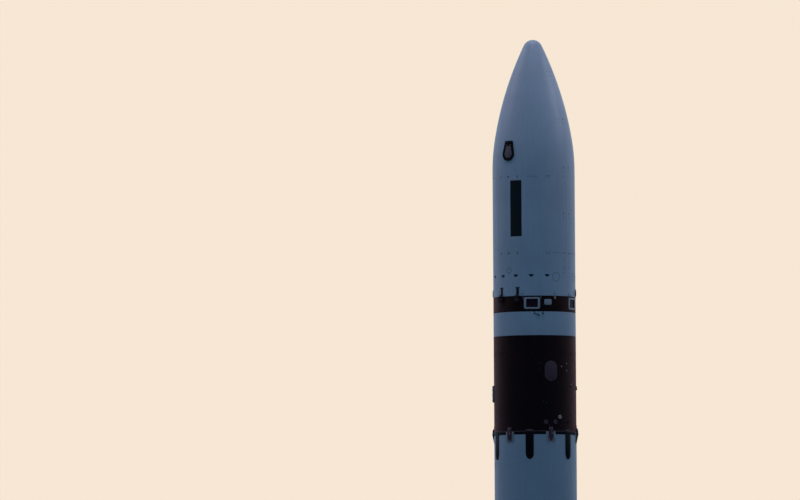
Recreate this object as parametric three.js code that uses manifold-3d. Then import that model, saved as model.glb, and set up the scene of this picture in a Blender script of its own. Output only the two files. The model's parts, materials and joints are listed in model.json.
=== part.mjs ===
// A small two-stage satellite launcher, 1.32 m across and 13.1 m long, standing nose up.
// Millimetres, +Z up. The origin is on the centre line, in the plane of the hold-down feet.
// Azimuths are degrees round +Z from -Y: 0 is the middle of fairing half A, 90 is +X.
import * as THREE from "three";
import { mergeVertices } from "three/addons/utils/BufferGeometryUtils.js";
import Module from "manifold-3d";

const wasm = await Module();
wasm.setup();

// Driving dimensions
const BODY_RADIUS = 660;
const TIP_HEIGHT = 12800;
const ROUND = 48; // sides of the body's round sections
const SMALL_ROUND = 16; // sides of an engine
const PIN_ROUND = 12; // sides of a pin
const CORNER_STEPS = 3; // pairs of sides in a rounded corner
const ARC_STEPS = 8; // pairs of sides in a large arc
const SEAM = 0.4; // between pieces that touch
const MOVING_GAP = 5; // between pieces that move past each other

// Heights where the stacked sections meet
const RING_BASE = 12;
const RING_TOP = 58;
const SKIRT_TOP = 900;
const FUEL_TOP = 2930;
const INTERTANK_TOP = 2990;
const BOOSTER_TOP = 6428;
const JOINT_TOP = 6474;
const COLLAR_BASE = 7731;
const INTERSTAGE_TOP = 8012;
const BAND_BASE = 8392;
const BAND_TOP = 8641;
const FAIRING_BASE = BAND_TOP + MOVING_GAP;

// Nose outline: the cylinder runs into a wide blend arc, the long side arc and a round cap
const BLEND = { radius: 3200, angle: 9.3, steps: 2 };
const SIDE = { radius: 5583, angle: 25.6, steps: 5 };
const CAP_STEPS = 3;
const FAIRING_WALL = 24;

const radians = THREE.MathUtils.degToRad;

// Finishes
function finish(colour, roughness, metalness) {
  return new THREE.MeshStandardMaterial({ color: colour, roughness, metalness });
}
const whitePaint = finish(0xc9d1d9, 0.45, 0.0);
const blackComposite = finish(0x0d0d10, 0.5, 0.0);
const greyCover = finish(0x3a3a44, 0.55, 0.0);
const darkMetal = finish(0x2b2a2e, 0.45, 0.8);
const bareAluminium = finish(0x9a9da1, 0.4, 1.0);
const engineMetal = finish(0x7d6a5c, 0.35, 1.0);
const blanket = finish(0x6d6a66, 0.6, 0.3);

// Solids from three.js geometry
function solidOf(geometry) {
  const bare = geometry.index ? geometry.toNonIndexed() : geometry.clone();
  bare.deleteAttribute("normal");
  bare.deleteAttribute("uv");
  const merged = mergeVertices(bare, 1e-3);
  const corners = merged.index.array;
  const places = merged.attributes.position.array;
  const triangles = [];
  let volume = 0;
  for (let i = 0; i < corners.length; i += 3) {
    const [a, b, c] = [corners[i], corners[i + 1], corners[i + 2]];
    if (a === b || b === c || c === a) continue;
    triangles.push([a, b, c]);
    const [va, vb, vc] = [a, b, c].map((k) => new THREE.Vector3().fromArray(places, 3 * k));
    volume += va.dot(vb.cross(vc));
  }
  const facing = volume < 0 ? triangles.map(([a, b, c]) => [a, c, b]) : triangles;
  return new wasm.Manifold(
    new wasm.Mesh({ numProp: 3, vertProperties: places, triVerts: new Uint32Array(facing.flat()) }),
  );
}

function geometryOf(solid) {
  const mesh = solid.getMesh();
  const geometry = new THREE.BufferGeometry();
  geometry.setAttribute("position", new THREE.BufferAttribute(mesh.vertProperties, 3));
  geometry.setIndex(new THREE.BufferAttribute(mesh.triVerts, 1));
  return geometry;
}

function joined(solids) {
  return solids.reduce((whole, next) => whole.add(next));
}

// A solid turned from [radius, height] points about the centre line
function revolved(points, sides = ROUND) {
  const outline = points.map(([r, z]) => new THREE.Vector2(r, z));
  return solidOf(new THREE.LatheGeometry(outline, sides).rotateX(Math.PI / 2));
}

function drum(radius, base, top) {
  return revolved([[0, base], [radius, base], [radius, top], [0, top]]);
}

function hoop(inner, outer, base, top) {
  return drum(outer, base, top).subtract(drum(inner, base - 1, top + 1));
}

// A box given by its two corners
function block(low, high) {
  const size = high.map((v, k) => v - low[k]);
  const middle = high.map((v, k) => (v + low[k]) / 2);
  return solidOf(new THREE.BoxGeometry(...size).translate(...middle));
}

// A round bar along X or Y through a point
function bar(along, radius, from, to, point) {
  const rod = new THREE.CylinderGeometry(radius, radius, to - from, PIN_ROUND);
  if (along === "x") rod.rotateZ(Math.PI / 2).translate((from + to) / 2, point[1], point[2]);
  else rod.translate(point[0], (from + to) / 2, point[2]);
  return solidOf(rod);
}

// An outline drawn in the XZ plane, run along Y across the front of the body
function through(shape, curveSegments = CORNER_STEPS) {
  const [near, far] = [-900, -300];
  const geometry = new THREE.ExtrudeGeometry(shape, {
    depth: far - near,
    bevelEnabled: false,
    curveSegments,
  });
  return solidOf(geometry.rotateX(Math.PI / 2).translate(0, far, 0));
}

// A side outline of [radius outwards, height] points at azimuth 0, as wide as asked
function sideways(points, halfWidth) {
  const shape = new THREE.Shape(points.map(([r, z]) => new THREE.Vector2(r, z)));
  const geometry = new THREE.ExtrudeGeometry(shape, { depth: 2 * halfWidth, bevelEnabled: false });
  geometry.translate(0, 0, -halfWidth);
  geometry.applyMatrix4(
    new THREE.Matrix4().set(0, 0, 1, 0, -1, 0, 0, 0, 0, 1, 0, 0, 0, 0, 0, 1),
  );
  return solidOf(geometry);
}

function turned(solid, azimuth) {
  return solid.rotate([0, 0, azimuth]);
}

function roundedBox(halfWidth, base, top, radius) {
  const shape = new THREE.Shape();
  shape.moveTo(-halfWidth + radius, base);
  shape.lineTo(halfWidth - radius, base);
  shape.absarc(halfWidth - radius, base + radius, radius, -Math.PI / 2, 0, false);
  shape.lineTo(halfWidth, top - radius);
  shape.absarc(halfWidth - radius, top - radius, radius, 0, Math.PI / 2, false);
  shape.lineTo(-halfWidth + radius, top);
  shape.absarc(-halfWidth + radius, top - radius, radius, Math.PI / 2, Math.PI, false);
  shape.lineTo(-halfWidth, base + radius);
  shape.absarc(-halfWidth + radius, base + radius, radius, Math.PI, 1.5 * Math.PI, false);
  return shape;
}

// A plate that follows the round skin, cut to an outline at an azimuth
function skinPlate(outline, azimuth, base, top, inner, outer) {
  const shell = hoop(BODY_RADIUS + inner, BODY_RADIUS + outer, base, top);
  return shell.intersect(turned(through(outline), azimuth));
}

// Parts list
const rocket = new THREE.Group();
function part(name, solid, material) {
  const mesh = new THREE.Mesh(geometryOf(solid), material);
  mesh.name = name;
  rocket.add(mesh);
}

// Stacked body sections: node name, base height, top height, finish
const SECTIONS = [
  ["fuel_tank", SKIRT_TOP, FUEL_TOP, whitePaint],
  ["intertank_ring", FUEL_TOP, INTERTANK_TOP, bareAluminium],
  ["oxidizer_tank", INTERTANK_TOP, BOOSTER_TOP, whitePaint],
  ["interstage", JOINT_TOP, COLLAR_BASE, blackComposite],
  ["interstage_collar", COLLAR_BASE, INTERSTAGE_TOP, blackComposite],
  ["upper_ring", INTERSTAGE_TOP, BAND_BASE, whitePaint],
];
for (const [name, base, top, material] of SECTIONS) part(name, drum(BODY_RADIUS, base + SEAM, top), material);

// Aft end: hold-down ring with four feet, engine skirt, heat shield
const SKIRT_WALL = 16;
const RING_INNER = 604;
const LEDGE = { inner: 575, base: 30.4, top: 42 };
const FOOT = { halfWidth: 60, inner: 640, outer: 725, toe: 30, height: 120 };
const FOOT_AZIMUTHS = [45, 135, 225, 315];
const ENGINE_PITCH = 440; // from the centre engine to each outer one
const SHIELD_HOLE = 130;

function aftRing() {
  const ring = hoop(RING_INNER, BODY_RADIUS + 4, RING_BASE, RING_TOP);
  const ledge = hoop(LEDGE.inner, RING_INNER + 2, LEDGE.base, LEDGE.top);
  const foot = sideways(
    [
      [FOOT.inner, 0],
      [FOOT.outer, 0],
      [FOOT.outer, FOOT.toe],
      [BODY_RADIUS + 8, FOOT.height],
      [FOOT.inner, FOOT.height],
    ],
    FOOT.halfWidth,
  ).subtract(drum(BODY_RADIUS + SEAM, RING_TOP + SEAM, FOOT.height + 50));
  return joined([ring, ledge, ...FOOT_AZIMUTHS.map((a) => turned(foot, a))]);
}

// Centres of the five engines: the middle one and four on the axes
const ENGINE_CENTRES = [[0, 0], [0, -1], [1, 0], [0, 1], [-1, 0]].map(([x, y]) => [
  x * ENGINE_PITCH,
  y * ENGINE_PITCH,
]);

function heatShield() {
  const hole = revolved([[0, 0], [SHIELD_HOLE, 0], [SHIELD_HOLE, 50], [0, 50]], SMALL_ROUND);
  const holes = ENGINE_CENTRES.map(([x, y]) => hole.translate([x, y, 0]));
  return drum(RING_INNER - SEAM, RING_BASE, LEDGE.base - SEAM).subtract(joined(holes));
}

part("aft_ring", aftRing(), bareAluminium);
part("engine_skirt", hoop(BODY_RADIUS - SKIRT_WALL, BODY_RADIUS, RING_TOP + SEAM, SKIRT_TOP), whitePaint);
part("heat_shield", heatShield(), blanket);

// Engines: each hangs from a gimbal cross between two ears of the thrust frame
const PIVOT = 380; // height of the gimbal centres
const EAR = { near: 36, far: 50, halfWidth: 24, hole: 10.8 };
const THRUST_PLATE = { base: 560, top: 600 };
const CROSS = { half: 22, halfHeight: 16, pin: 10, reach: 54 };
const HEAD_TOP = -60; // the rest are heights below the gimbal centre
const EXIT = { radius: 150, level: -680 };
const THROAT = { radius: 48, level: -335 };
const BELL_WALL = 6;
const BELL_STEPS = 5;
const DISH = { radius: 350, thickness: 4, edge: 150 };

// An ear plate between a height and a round end about the pivot, bored for its pin
function ear(height) {
  const { near, far, halfWidth, hole } = EAR;
  const plate = block(
    [-halfWidth, -far, Math.min(height, 0)],
    [halfWidth, -near, Math.max(height, 0)],
  );
  return plate
    .add(bar("y", halfWidth, -far, -near, [0, 0, 0]))
    .subtract(bar("y", hole, -far - 1, -near + 1, [0, 0, 0]));
}

function thrustFrame() {
  const plate = drum(BODY_RADIUS - SKIRT_WALL - SEAM, THRUST_PLATE.base, THRUST_PLATE.top);
  const hanging = ear(THRUST_PLATE.base + 2 - PIVOT);
  const ears = ENGINE_CENTRES.flatMap(([x, y]) =>
    [90, 270].map((a) => turned(hanging, a).translate([x, y, PIVOT])),
  );
  return joined([plate, ...ears]);
}

function gimbalCross() {
  const { half, halfHeight, pin, reach } = CROSS;
  return joined([
    block([-half, -half, -halfHeight], [half, half, halfHeight]),
    bar("x", pin, -reach, reach, [0, 0, 0]),
    bar("y", pin, -reach, reach, [0, 0, 0]),
  ]);
}

// Radius inside the bell at a share of the way from throat to exit
function bellRadius(share) {
  const opening = 0.8 * (1 - (1 - share) ** 2) + 0.2 * share;
  return THROAT.radius + (EXIT.radius - BELL_WALL - THROAT.radius) * opening;
}

function engine() {
  const bell = Array.from({ length: BELL_STEPS + 1 }, (_, k) => {
    const share = 1 - k / BELL_STEPS;
    return [bellRadius(share), THROAT.level + (EXIT.level - THROAT.level) * share];
  });
  const dishAt = (r, offset) => [r, -Math.sqrt((DISH.radius + offset) ** 2 - r * r)];
  const { thickness, edge } = DISH;
  const waist = THROAT.radius + BELL_WALL + 6;
  const outside = [
    [0, EXIT.level],
    ...bell.slice(0, -1).map(([r, z]) => [r + BELL_WALL, z]),
    dishAt(waist, 0),
    dishAt((waist + edge) / 2, 0),
    dishAt(edge, 0),
    dishAt(edge, -thickness),
    dishAt((waist + edge) / 2, -thickness),
    dishAt(waist, -thickness),
    [84, -280],
    [84, -105],
    [60, HEAD_TOP - 10],
    [60, HEAD_TOP],
    [0, HEAD_TOP],
  ];
  const inside = [
    [0, EXIT.level - 1],
    [bell[0][0], EXIT.level - 1],
    ...bell,
    [60, THROAT.level + 35],
    [0, THROAT.level + 35],
  ];
  const chamber = revolved(outside, SMALL_ROUND).subtract(revolved(inside, SMALL_ROUND));
  const standing = ear(HEAD_TOP - 2);
  return joined([chamber, standing, turned(standing, 180)]);
}

part("thrust_frame", thrustFrame(), bareAluminium);
const crossSolid = gimbalCross();
const engineSolid = engine();
ENGINE_CENTRES.forEach(([x, y], k) => {
  part(`gimbal_cross_${k + 1}`, crossSolid.translate([x, y, PIVOT]), darkMetal);
  part(`engine_${k + 1}`, engineSolid.translate([x, y, PIVOT]), engineMetal);
});

// Raceways: covered cable and pipe tunnels up the back of the first stage
const RACEWAY = { base: 800, top: 6700, taper: 120, halfWidth: 60, halfTop: 42, height: 45, back: 2.8 };
function raceway() {
  const { base, top, taper, halfWidth, halfTop, height, back } = RACEWAY;
  const outer = BODY_RADIUS + height;
  const inner = BODY_RADIUS - 20;
  const side = sideways(
    [
      [inner, base],
      [BODY_RADIUS, base],
      [outer, base + taper],
      [outer, top - taper],
      [BODY_RADIUS, top],
      [inner, top],
    ],
    halfWidth,
  );
  const plan = new THREE.Shape(
    [
      [-halfWidth, -inner],
      [-halfWidth, -BODY_RADIUS - 8],
      [-halfTop, -outer],
      [halfTop, -outer],
      [halfWidth, -BODY_RADIUS - 8],
      [halfWidth, -inner],
    ].map(([x, y]) => new THREE.Vector2(x, y)),
  );
  const long = new THREE.ExtrudeGeometry(plan, { depth: top - base, bevelEnabled: false });
  return side.intersect(solidOf(long.translate(0, 0, base)));
}
const racewaySolid = raceway();
const racewaySeat = drum(BODY_RADIUS + RACEWAY.back, RACEWAY.base - 50, RACEWAY.top + 50);
[165, 195].forEach((azimuth, k) => {
  part(`raceway_${k + 1}`, turned(racewaySolid, azimuth).subtract(racewaySeat), whitePaint);
});

// Stage joint: a black ring with six tongues down over the tank, and six latches between them
const TONGUE = { halfWidth: 65, length: 396, tip: 96, proud: 7 };
const JOINT_PROUD = 2;
const SIXTHS = [0, 60, 120, 180, 240, 300];

function tongueRing() {
  const { halfWidth, length, tip, proud } = TONGUE;
  const shoulder = BOOSTER_TOP - length + tip;
  const outline = new THREE.Shape();
  outline.moveTo(-halfWidth, JOINT_TOP);
  outline.lineTo(-halfWidth, shoulder);
  outline.absellipse(0, shoulder, halfWidth, tip, Math.PI, 2 * Math.PI, false, 0);
  outline.lineTo(halfWidth, JOINT_TOP);
  const tongues = SIXTHS.map((a) =>
    skinPlate(outline, a + 30, BOOSTER_TOP - length - 10, JOINT_TOP, SEAM, proud),
  );
  const ring = hoop(560, BODY_RADIUS + JOINT_PROUD, BOOSTER_TOP + SEAM, JOINT_TOP);
  return joined([ring, ...tongues]);
}
part("joint_tongue_ring", tongueRing(), blackComposite);

const LATCH = { plateHalf: 80, plateDrop: 130, plateProud: 5, leverHalf: 36, rise: 68, drop: 108, seat: 2.8 };
function latch(azimuth) {
  const { plateHalf, plateDrop, plateProud, leverHalf, rise, drop, seat } = LATCH;
  const foot = BOOSTER_TOP - plateDrop;
  const outline = roundedBox(plateHalf, foot, JOINT_TOP, 30);
  const plate = joined([
    skinPlate(outline, azimuth, foot - 5, BOOSTER_TOP - 2, SEAM, plateProud),
    skinPlate(outline, azimuth, foot - 5, JOINT_TOP, JOINT_PROUD + SEAM, plateProud),
  ]);
  const back = BODY_RADIUS + seat;
  const lever = sideways(
    [
      [back, JOINT_TOP + rise],
      [back + 14, JOINT_TOP + rise],
      [back + 28, JOINT_TOP + 26],
      [back + 30, BOOSTER_TOP + 10],
      [back + 22, BOOSTER_TOP - 40],
      [back + 6, BOOSTER_TOP - drop],
      [back, BOOSTER_TOP - drop],
    ],
    leverHalf,
  );
  return plate.add(turned(lever, azimuth));
}
SIXTHS.forEach((azimuth, k) => part(`joint_latch_${k + 1}`, latch(azimuth), darkMetal));

// Interstage access covers
const COVER = { halfWidth: 107, halfHeight: 163, middle: 7443, proud: 4 };
[61, 241].forEach((azimuth, k) => {
  const { halfWidth, halfHeight, middle, proud } = COVER;
  const [base, top] = [middle - halfHeight, middle + halfHeight];
  const outline = roundedBox(halfWidth, base, top, halfWidth - 1);
  part(`access_cover_${k + 1}`, skinPlate(outline, azimuth, base - 5, top + 5, SEAM, proud), greyCover);
});

// Umbilical plates: flat bosses on the side that faces the launch tower
const UMBILICAL = { halfWidth: 110, halfHeight: 130, proud: 22, azimuth: -53 };
[["aft", 640], ["forward", 7100]].forEach(([name, middle]) => {
  const { halfWidth, halfHeight, proud, azimuth } = UMBILICAL;
  const outer = BODY_RADIUS + proud;
  const boss = block([-halfWidth, -outer, middle - halfHeight], [halfWidth, -500, middle + halfHeight]);
  const seat = drum(BODY_RADIUS + SEAM, middle - 200, middle + 200);
  part(`umbilical_plate_${name}`, turned(boss, azimuth).subtract(seat), bareAluminium);
});

// Fairing hinges: two for each half, on one pin line just outside the skin
const HINGE = { line: 664, offset: 160, knuckle: 14, bore: 9, pin: 8, halfWidth: 22, sideGap: 2, ear: 16 };
const HINGE_SIDES = [-1, 1];

// Separation band, a black hoop with the fixed half of each hinge
function hingeSeat(side) {
  const { line, offset, pin, halfWidth, sideGap, ear: earWidth } = HINGE;
  const middle = side * offset;
  const inner = halfWidth + sideGap;
  const outer = inner + earWidth;
  const front = -line - pin - 4;
  const foot = block([middle - outer, front, BAND_TOP - 91], [middle + outer, -610, BAND_TOP - 23]);
  const ears = [-1, 1].flatMap((s) => {
    const [a, b] = [middle + s * inner, middle + s * outer].sort((p, q) => p - q);
    return [
      block([a, front, BAND_TOP - 41], [b, -620, BAND_TOP]),
      bar("x", pin + 4, a, b, [0, -line, BAND_TOP]),
    ];
  });
  return joined([foot, ...ears, bar("x", pin, middle - outer, middle + outer, [0, -line, BAND_TOP])]);
}
const hingeSeats = joined(HINGE_SIDES.map(hingeSeat));

// Dark windows of the band, two on each side: a shallow pocket with a white frame
const WINDOW = { halfWidth: 129, base: 8433, top: 8621, corner: 30, innerHalf: 94, proud: 4 };
const POCKET = { base: WINDOW.base + 27, top: WINDOW.top - 27, depth: 14 };
const WINDOW_AZIMUTHS = [34.5, 105, 214.5, 285];

function windowPocket(azimuth) {
  const far = BODY_RADIUS + WINDOW.proud + 1;
  const near = BODY_RADIUS - 60;
  const box = block([-WINDOW.innerHalf, -far, POCKET.base], [WINDOW.innerHalf, -near, POCKET.top]);
  return turned(box, azimuth);
}
const pockets = joined(WINDOW_AZIMUTHS.map(windowPocket)).subtract(
  drum(BODY_RADIUS - POCKET.depth, BAND_BASE, BAND_TOP),
);
const bandHoop = hoop(600, BODY_RADIUS, BAND_BASE + SEAM, BAND_TOP).subtract(pockets);
part("separation_band", joined([bandHoop, hingeSeats, turned(hingeSeats, 180)]), blackComposite);

WINDOW_AZIMUTHS.forEach((azimuth, k) => {
  const { halfWidth, base, top, corner, proud } = WINDOW;
  const outline = roundedBox(halfWidth, base, top, corner);
  const plate = skinPlate(outline, azimuth, base - 5, top + 5, SEAM, proud);
  part(`window_frame_${k + 1}`, plate.subtract(pockets), whitePaint);
});

// Upper stage under the fairing: deck, tank drum, pressure bottles, payload adapter
const DECK = { radius: 600 - SEAM, base: 8560, top: 8600 };
const STAGE = { radius: 450, footRadius: 425, footTop: 8700, top: 9960 };
const BOTTLE = { radius: 75, base: 8700, length: 520, steps: 3 };
const ADAPTER = { base: 440, radius: 300, shoulder: 10300, top: 10340 };

function bottle() {
  const { radius, base, length, steps } = BOTTLE;
  const cap = Array.from({ length: steps + 1 }, (_, k) => (k / steps) * (Math.PI / 2));
  const low = cap.map((a) => [radius * Math.sin(a), base + radius * (1 - Math.cos(a))]);
  const high = cap.map((a) => [radius * Math.cos(a), base + length - radius * (1 - Math.sin(a))]);
  return revolved([...low, ...high], PIN_ROUND);
}

part("separation_deck", drum(DECK.radius, DECK.base, DECK.top), bareAluminium);
part(
  "upper_stage_tank",
  revolved([
    [0, DECK.top + SEAM],
    [STAGE.footRadius, DECK.top + SEAM],
    [STAGE.footRadius, STAGE.footTop],
    [STAGE.radius, STAGE.footTop + 25],
    [STAGE.radius, STAGE.top],
    [0, STAGE.top],
  ]),
  bareAluminium,
);
const bottleSolid = bottle().translate([0, -(STAGE.radius + BOTTLE.radius + SEAM), 0]);
[30, 120, 210, 300].forEach((azimuth, k) => {
  part(`pressure_bottle_${k + 1}`, turned(bottleSolid, azimuth), blackComposite);
});
part(
  "payload_adapter",
  revolved([
    [0, STAGE.top + SEAM],
    [ADAPTER.base, STAGE.top + SEAM],
    [ADAPTER.radius, ADAPTER.shoulder],
    [ADAPTER.radius, ADAPTER.top],
    [0, ADAPTER.top],
  ]),
  bareAluminium,
);

// Nose skin: [radius, height] points from the fairing's base to its tip, moved out by offset
function skinOutline(offset) {
  const [a1, a2] = [radians(BLEND.angle), radians(SIDE.angle)];
  const blendCentre = BODY_RADIUS - BLEND.radius;
  const blendEnd = BODY_RADIUS - BLEND.radius * (1 - Math.cos(a1));
  const sideEnd = blendEnd - SIDE.radius * (Math.cos(a1) - Math.cos(a2));
  const capRadius = sideEnd / Math.cos(a2);
  const capCentre = TIP_HEIGHT - capRadius;
  const sideCentre = [
    sideEnd - SIDE.radius * Math.cos(a2),
    capCentre + (capRadius - SIDE.radius) * Math.sin(a2),
  ];
  const tangent = sideCentre[1] + (SIDE.radius - BLEND.radius) * Math.sin(a1);
  const arc = (centre, radius, from, to, steps) =>
    Array.from({ length: steps }, (_, k) => {
      const a = from + ((to - from) * (k + 1)) / steps;
      return [centre[0] + (radius + offset) * Math.cos(a), centre[1] + (radius + offset) * Math.sin(a)];
    });
  const cap = arc([0, capCentre], capRadius, a2, Math.PI / 2, CAP_STEPS);
  cap[CAP_STEPS - 1][0] = 0;
  return [
    [BODY_RADIUS + offset, tangent],
    ...arc([blendCentre, tangent], BLEND.radius, 0, a1, BLEND.steps),
    ...arc(sideCentre, SIDE.radius, a1, a2, SIDE.steps),
    ...cap,
  ];
}

function noseSolid(offset, base) {
  return revolved([[0, base], [BODY_RADIUS + offset, base], ...skinOutline(offset)]);
}

// Keyhole-shaped air inlet in half A: black frame, round hole, grey flap hung from a pin
const INLET = { middle: 10925, hole: 60, pinLine: 647.8, pinHeight: 11076, pin: 3.5, knuckle: 7 };
const INLET_SKIN = { frame: 18, flapInner: MOVING_GAP + 0.5, flapOuter: 12 };
const KEYHOLE_OUTER = { middle: INLET.middle, radius: 110, top: 11137, topHalf: 70 };
const KEYHOLE_FLAP = { middle: 10932, radius: 73, top: 11056, topHalf: 46 };
const FLAP_KNUCKLES = [-34, 34];
const INLET_SLOT = { half: 58, base: 11046, top: 11090 };

function keyhole({ middle, radius, top, topHalf }, grow = 0) {
  const r = radius + grow;
  const [halfTop, height] = [topHalf + grow, top + grow - middle];
  const reach = Math.hypot(halfTop, height);
  const tangent = Math.atan2(height, halfTop) - Math.acos(r / reach);
  const shape = new THREE.Shape();
  shape.moveTo(halfTop, middle + height);
  shape.lineTo(-halfTop, middle + height);
  shape.absarc(0, middle, r, Math.PI - tangent, 2 * Math.PI + tangent, false);
  return shape;
}

function skinShell(inner, outer) {
  return noseSolid(outer, FAIRING_BASE).subtract(noseSolid(inner, FAIRING_BASE - 1));
}

function inletFrame() {
  const { half, base, top } = INLET_SLOT;
  const ring = skinShell(SEAM, INLET_SKIN.frame)
    .intersect(through(keyhole(KEYHOLE_OUTER), ARC_STEPS))
    .subtract(through(keyhole(KEYHOLE_FLAP, MOVING_GAP), ARC_STEPS))
    .subtract(block([-half, -800, base], [half, -500, top]));
  const pin = bar("x", INLET.pin, -half - 4, half + 4, [0, -INLET.pinLine, INLET.pinHeight]);
  return ring.add(pin);
}

function inletFlap() {
  const plate = skinShell(INLET_SKIN.flapInner, INLET_SKIN.flapOuter).intersect(through(keyhole(KEYHOLE_FLAP), ARC_STEPS));
  const arms = FLAP_KNUCKLES.flatMap((x) => [
    bar("x", INLET.knuckle, x - 10, x + 10, [0, -INLET.pinLine, INLET.pinHeight]),
    block([x - 10, -INLET.pinLine - 2, KEYHOLE_FLAP.top - 8], [x + 10, -INLET.pinLine + 5, INLET.pinHeight]),
  ]);
  const bore = bar("x", INLET.pin + 0.8, -60, 60, [0, -INLET.pinLine, INLET.pinHeight]);
  return joined([plate, ...arms]).subtract(bore);
}

// Moving half of each hinge: a T-shaped strap up the skin over a knuckle on the pin
const STRAP = { top: BAND_TOP + 147, shoulder: BAND_TOP + 120, headHalf: 32, proud: 10 };
function hingeStrap(side) {
  const { line, offset, knuckle, bore, halfWidth } = HINGE;
  const middle = side * offset;
  const stem = [middle - halfWidth, middle + halfWidth];
  const head = [middle - STRAP.headHalf, middle + STRAP.headHalf];
  const tee = new THREE.Shape(
    [
      [stem[0], FAIRING_BASE],
      [stem[1], FAIRING_BASE],
      [stem[1], STRAP.shoulder],
      [head[1], STRAP.shoulder],
      [head[1], STRAP.top],
      [head[0], STRAP.top],
      [head[0], STRAP.shoulder],
      [stem[0], STRAP.shoulder],
    ].map(([x, z]) => new THREE.Vector2(x, z)),
  );
  const skin = BODY_RADIUS + SEAM;
  const strap = hoop(skin, BODY_RADIUS + STRAP.proud, FAIRING_BASE, STRAP.top).intersect(through(tee));
  const web = block([stem[0], -line - 8, FAIRING_BASE], [stem[1], -600, BAND_TOP + 60]).subtract(
    drum(skin, FAIRING_BASE - 1, STRAP.top),
  );
  const roll = bar("x", knuckle, stem[0], stem[1], [0, -line, BAND_TOP]);
  const hole = bar("x", bore, stem[0] - 1, stem[1] + 1, [0, -line, BAND_TOP]);
  return joined([strap, web, roll]).subtract(hole);
}

// Fairing halves, hollow shells that part on the XZ plane
const shell = noseSolid(0, FAIRING_BASE).subtract(noseSolid(-FAIRING_WALL, FAIRING_BASE - 1));
const inletHole = new THREE.Shape();
inletHole.absarc(0, INLET.middle, INLET.hole, 0, 2 * Math.PI, false);
const front = block([-900, -900, 0], [900, -MOVING_GAP / 2, 13000]);
part("fairing_half_a", shell.intersect(front).subtract(through(inletHole, ARC_STEPS)), whitePaint);
part("fairing_half_b", shell.intersect(turned(front, 180)), whitePaint);
part("inlet_frame", inletFrame(), blackComposite);
part("inlet_flap", inletFlap(), greyCover);
["a", "b"].forEach((half, h) => {
  HINGE_SIDES.forEach((side, k) => {
    part(`fairing_hinge_${half}_${k + 1}`, turned(hingeStrap(side), 180 * h), darkMetal);
  });
});

export default rocket;
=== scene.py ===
"""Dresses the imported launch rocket: smooth skins, fittings, fasteners and finishes.

Metres, +Z up. Azimuths are degrees round +Z from -Y: 0 is the middle of fairing half A and
90 is +X. The origin is on the centre line, in the plane of the hold-down feet.
"""

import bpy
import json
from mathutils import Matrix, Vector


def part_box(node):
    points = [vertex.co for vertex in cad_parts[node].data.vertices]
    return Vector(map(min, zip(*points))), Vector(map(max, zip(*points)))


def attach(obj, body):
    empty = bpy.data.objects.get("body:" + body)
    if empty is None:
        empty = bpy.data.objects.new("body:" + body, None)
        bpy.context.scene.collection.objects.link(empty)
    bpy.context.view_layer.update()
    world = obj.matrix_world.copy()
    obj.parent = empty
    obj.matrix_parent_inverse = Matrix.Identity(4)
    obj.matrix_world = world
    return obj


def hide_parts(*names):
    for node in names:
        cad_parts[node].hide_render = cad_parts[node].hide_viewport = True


bl_info = {
    "name": "Launch Rocket Dressing",
    "version": (1, 0, 0),
    "blender": (4, 5, 0),
    "location": "View3D > Sidebar > Rocket",
    "description": "Builds the visible skins, fittings and finishes round the packed rocket",
    "category": "Object",
}

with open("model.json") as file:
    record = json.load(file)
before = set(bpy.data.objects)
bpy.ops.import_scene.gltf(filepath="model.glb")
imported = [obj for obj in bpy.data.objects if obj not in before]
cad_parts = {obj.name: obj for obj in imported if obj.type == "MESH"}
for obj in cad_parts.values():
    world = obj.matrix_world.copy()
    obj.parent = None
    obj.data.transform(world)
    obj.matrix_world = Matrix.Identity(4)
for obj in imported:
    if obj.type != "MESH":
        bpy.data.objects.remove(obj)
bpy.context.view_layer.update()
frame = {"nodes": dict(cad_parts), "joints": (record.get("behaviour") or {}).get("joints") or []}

import json
from math import acos, asin, atan2, ceil, cos, degrees, floor, hypot, pi, radians, sin, sqrt

import bmesh
import bpy
from bpy.props import BoolProperty, FloatProperty, FloatVectorProperty, IntProperty, PointerProperty
from bpy.types import Operator, Panel, PropertyGroup, Scene
from mathutils import Quaternion, Vector


# Sizes read from the frame


def span(node):
    """Lowest and highest z of a CAD node."""
    low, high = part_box(node)
    return low.z, high.z


def joint_place(name):
    """A joint's point."""
    return Vector(next(j["pos_m"] for j in frame["joints"] if j["name"] == name))


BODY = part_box("oxidizer_tank")[1].x
TIP = span("fairing_half_a")[1]
BAND_TOP = joint_place("fairing_a_open").z
HINGE_LINE = -joint_place("fairing_a_open").y
FLAP_PIN = joint_place("inlet_flap_open")
ENGINE_CENTRES = [joint_place(f"engine_{k}_pitch") for k in range(1, 6)]
SEAM = 0.0004
SIXTHS = range(0, 360, 60)
HINGE_SIDES = (-0.16, 0.16)
INLET_HEIGHT, INLET_RADIUS = 10.925, 0.06

# Nose outline: a wide blend arc, the long side arc and a round cap
BLEND_RADIUS, BLEND_ANGLE = 3.2, radians(9.3)
SIDE_RADIUS, SIDE_ANGLE = 5.583, radians(25.6)


def nose_arcs():
    """The nose outline's arcs as (centre radius, centre height, radius, start, end)."""
    blend_end = BODY - BLEND_RADIUS * (1 - cos(BLEND_ANGLE))
    side_end = blend_end - SIDE_RADIUS * (cos(BLEND_ANGLE) - cos(SIDE_ANGLE))
    cap = side_end / cos(SIDE_ANGLE)
    cap_height = TIP - cap
    side_height = cap_height + (cap - SIDE_RADIUS) * sin(SIDE_ANGLE)
    tangent = side_height + (SIDE_RADIUS - BLEND_RADIUS) * sin(BLEND_ANGLE)
    return [
        (BODY - BLEND_RADIUS, tangent, BLEND_RADIUS, 0.0, BLEND_ANGLE),
        (side_end - SIDE_RADIUS * cos(SIDE_ANGLE), side_height, SIDE_RADIUS, BLEND_ANGLE, SIDE_ANGLE),
        (0.0, cap_height, cap, SIDE_ANGLE, pi / 2),
    ]


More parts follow.
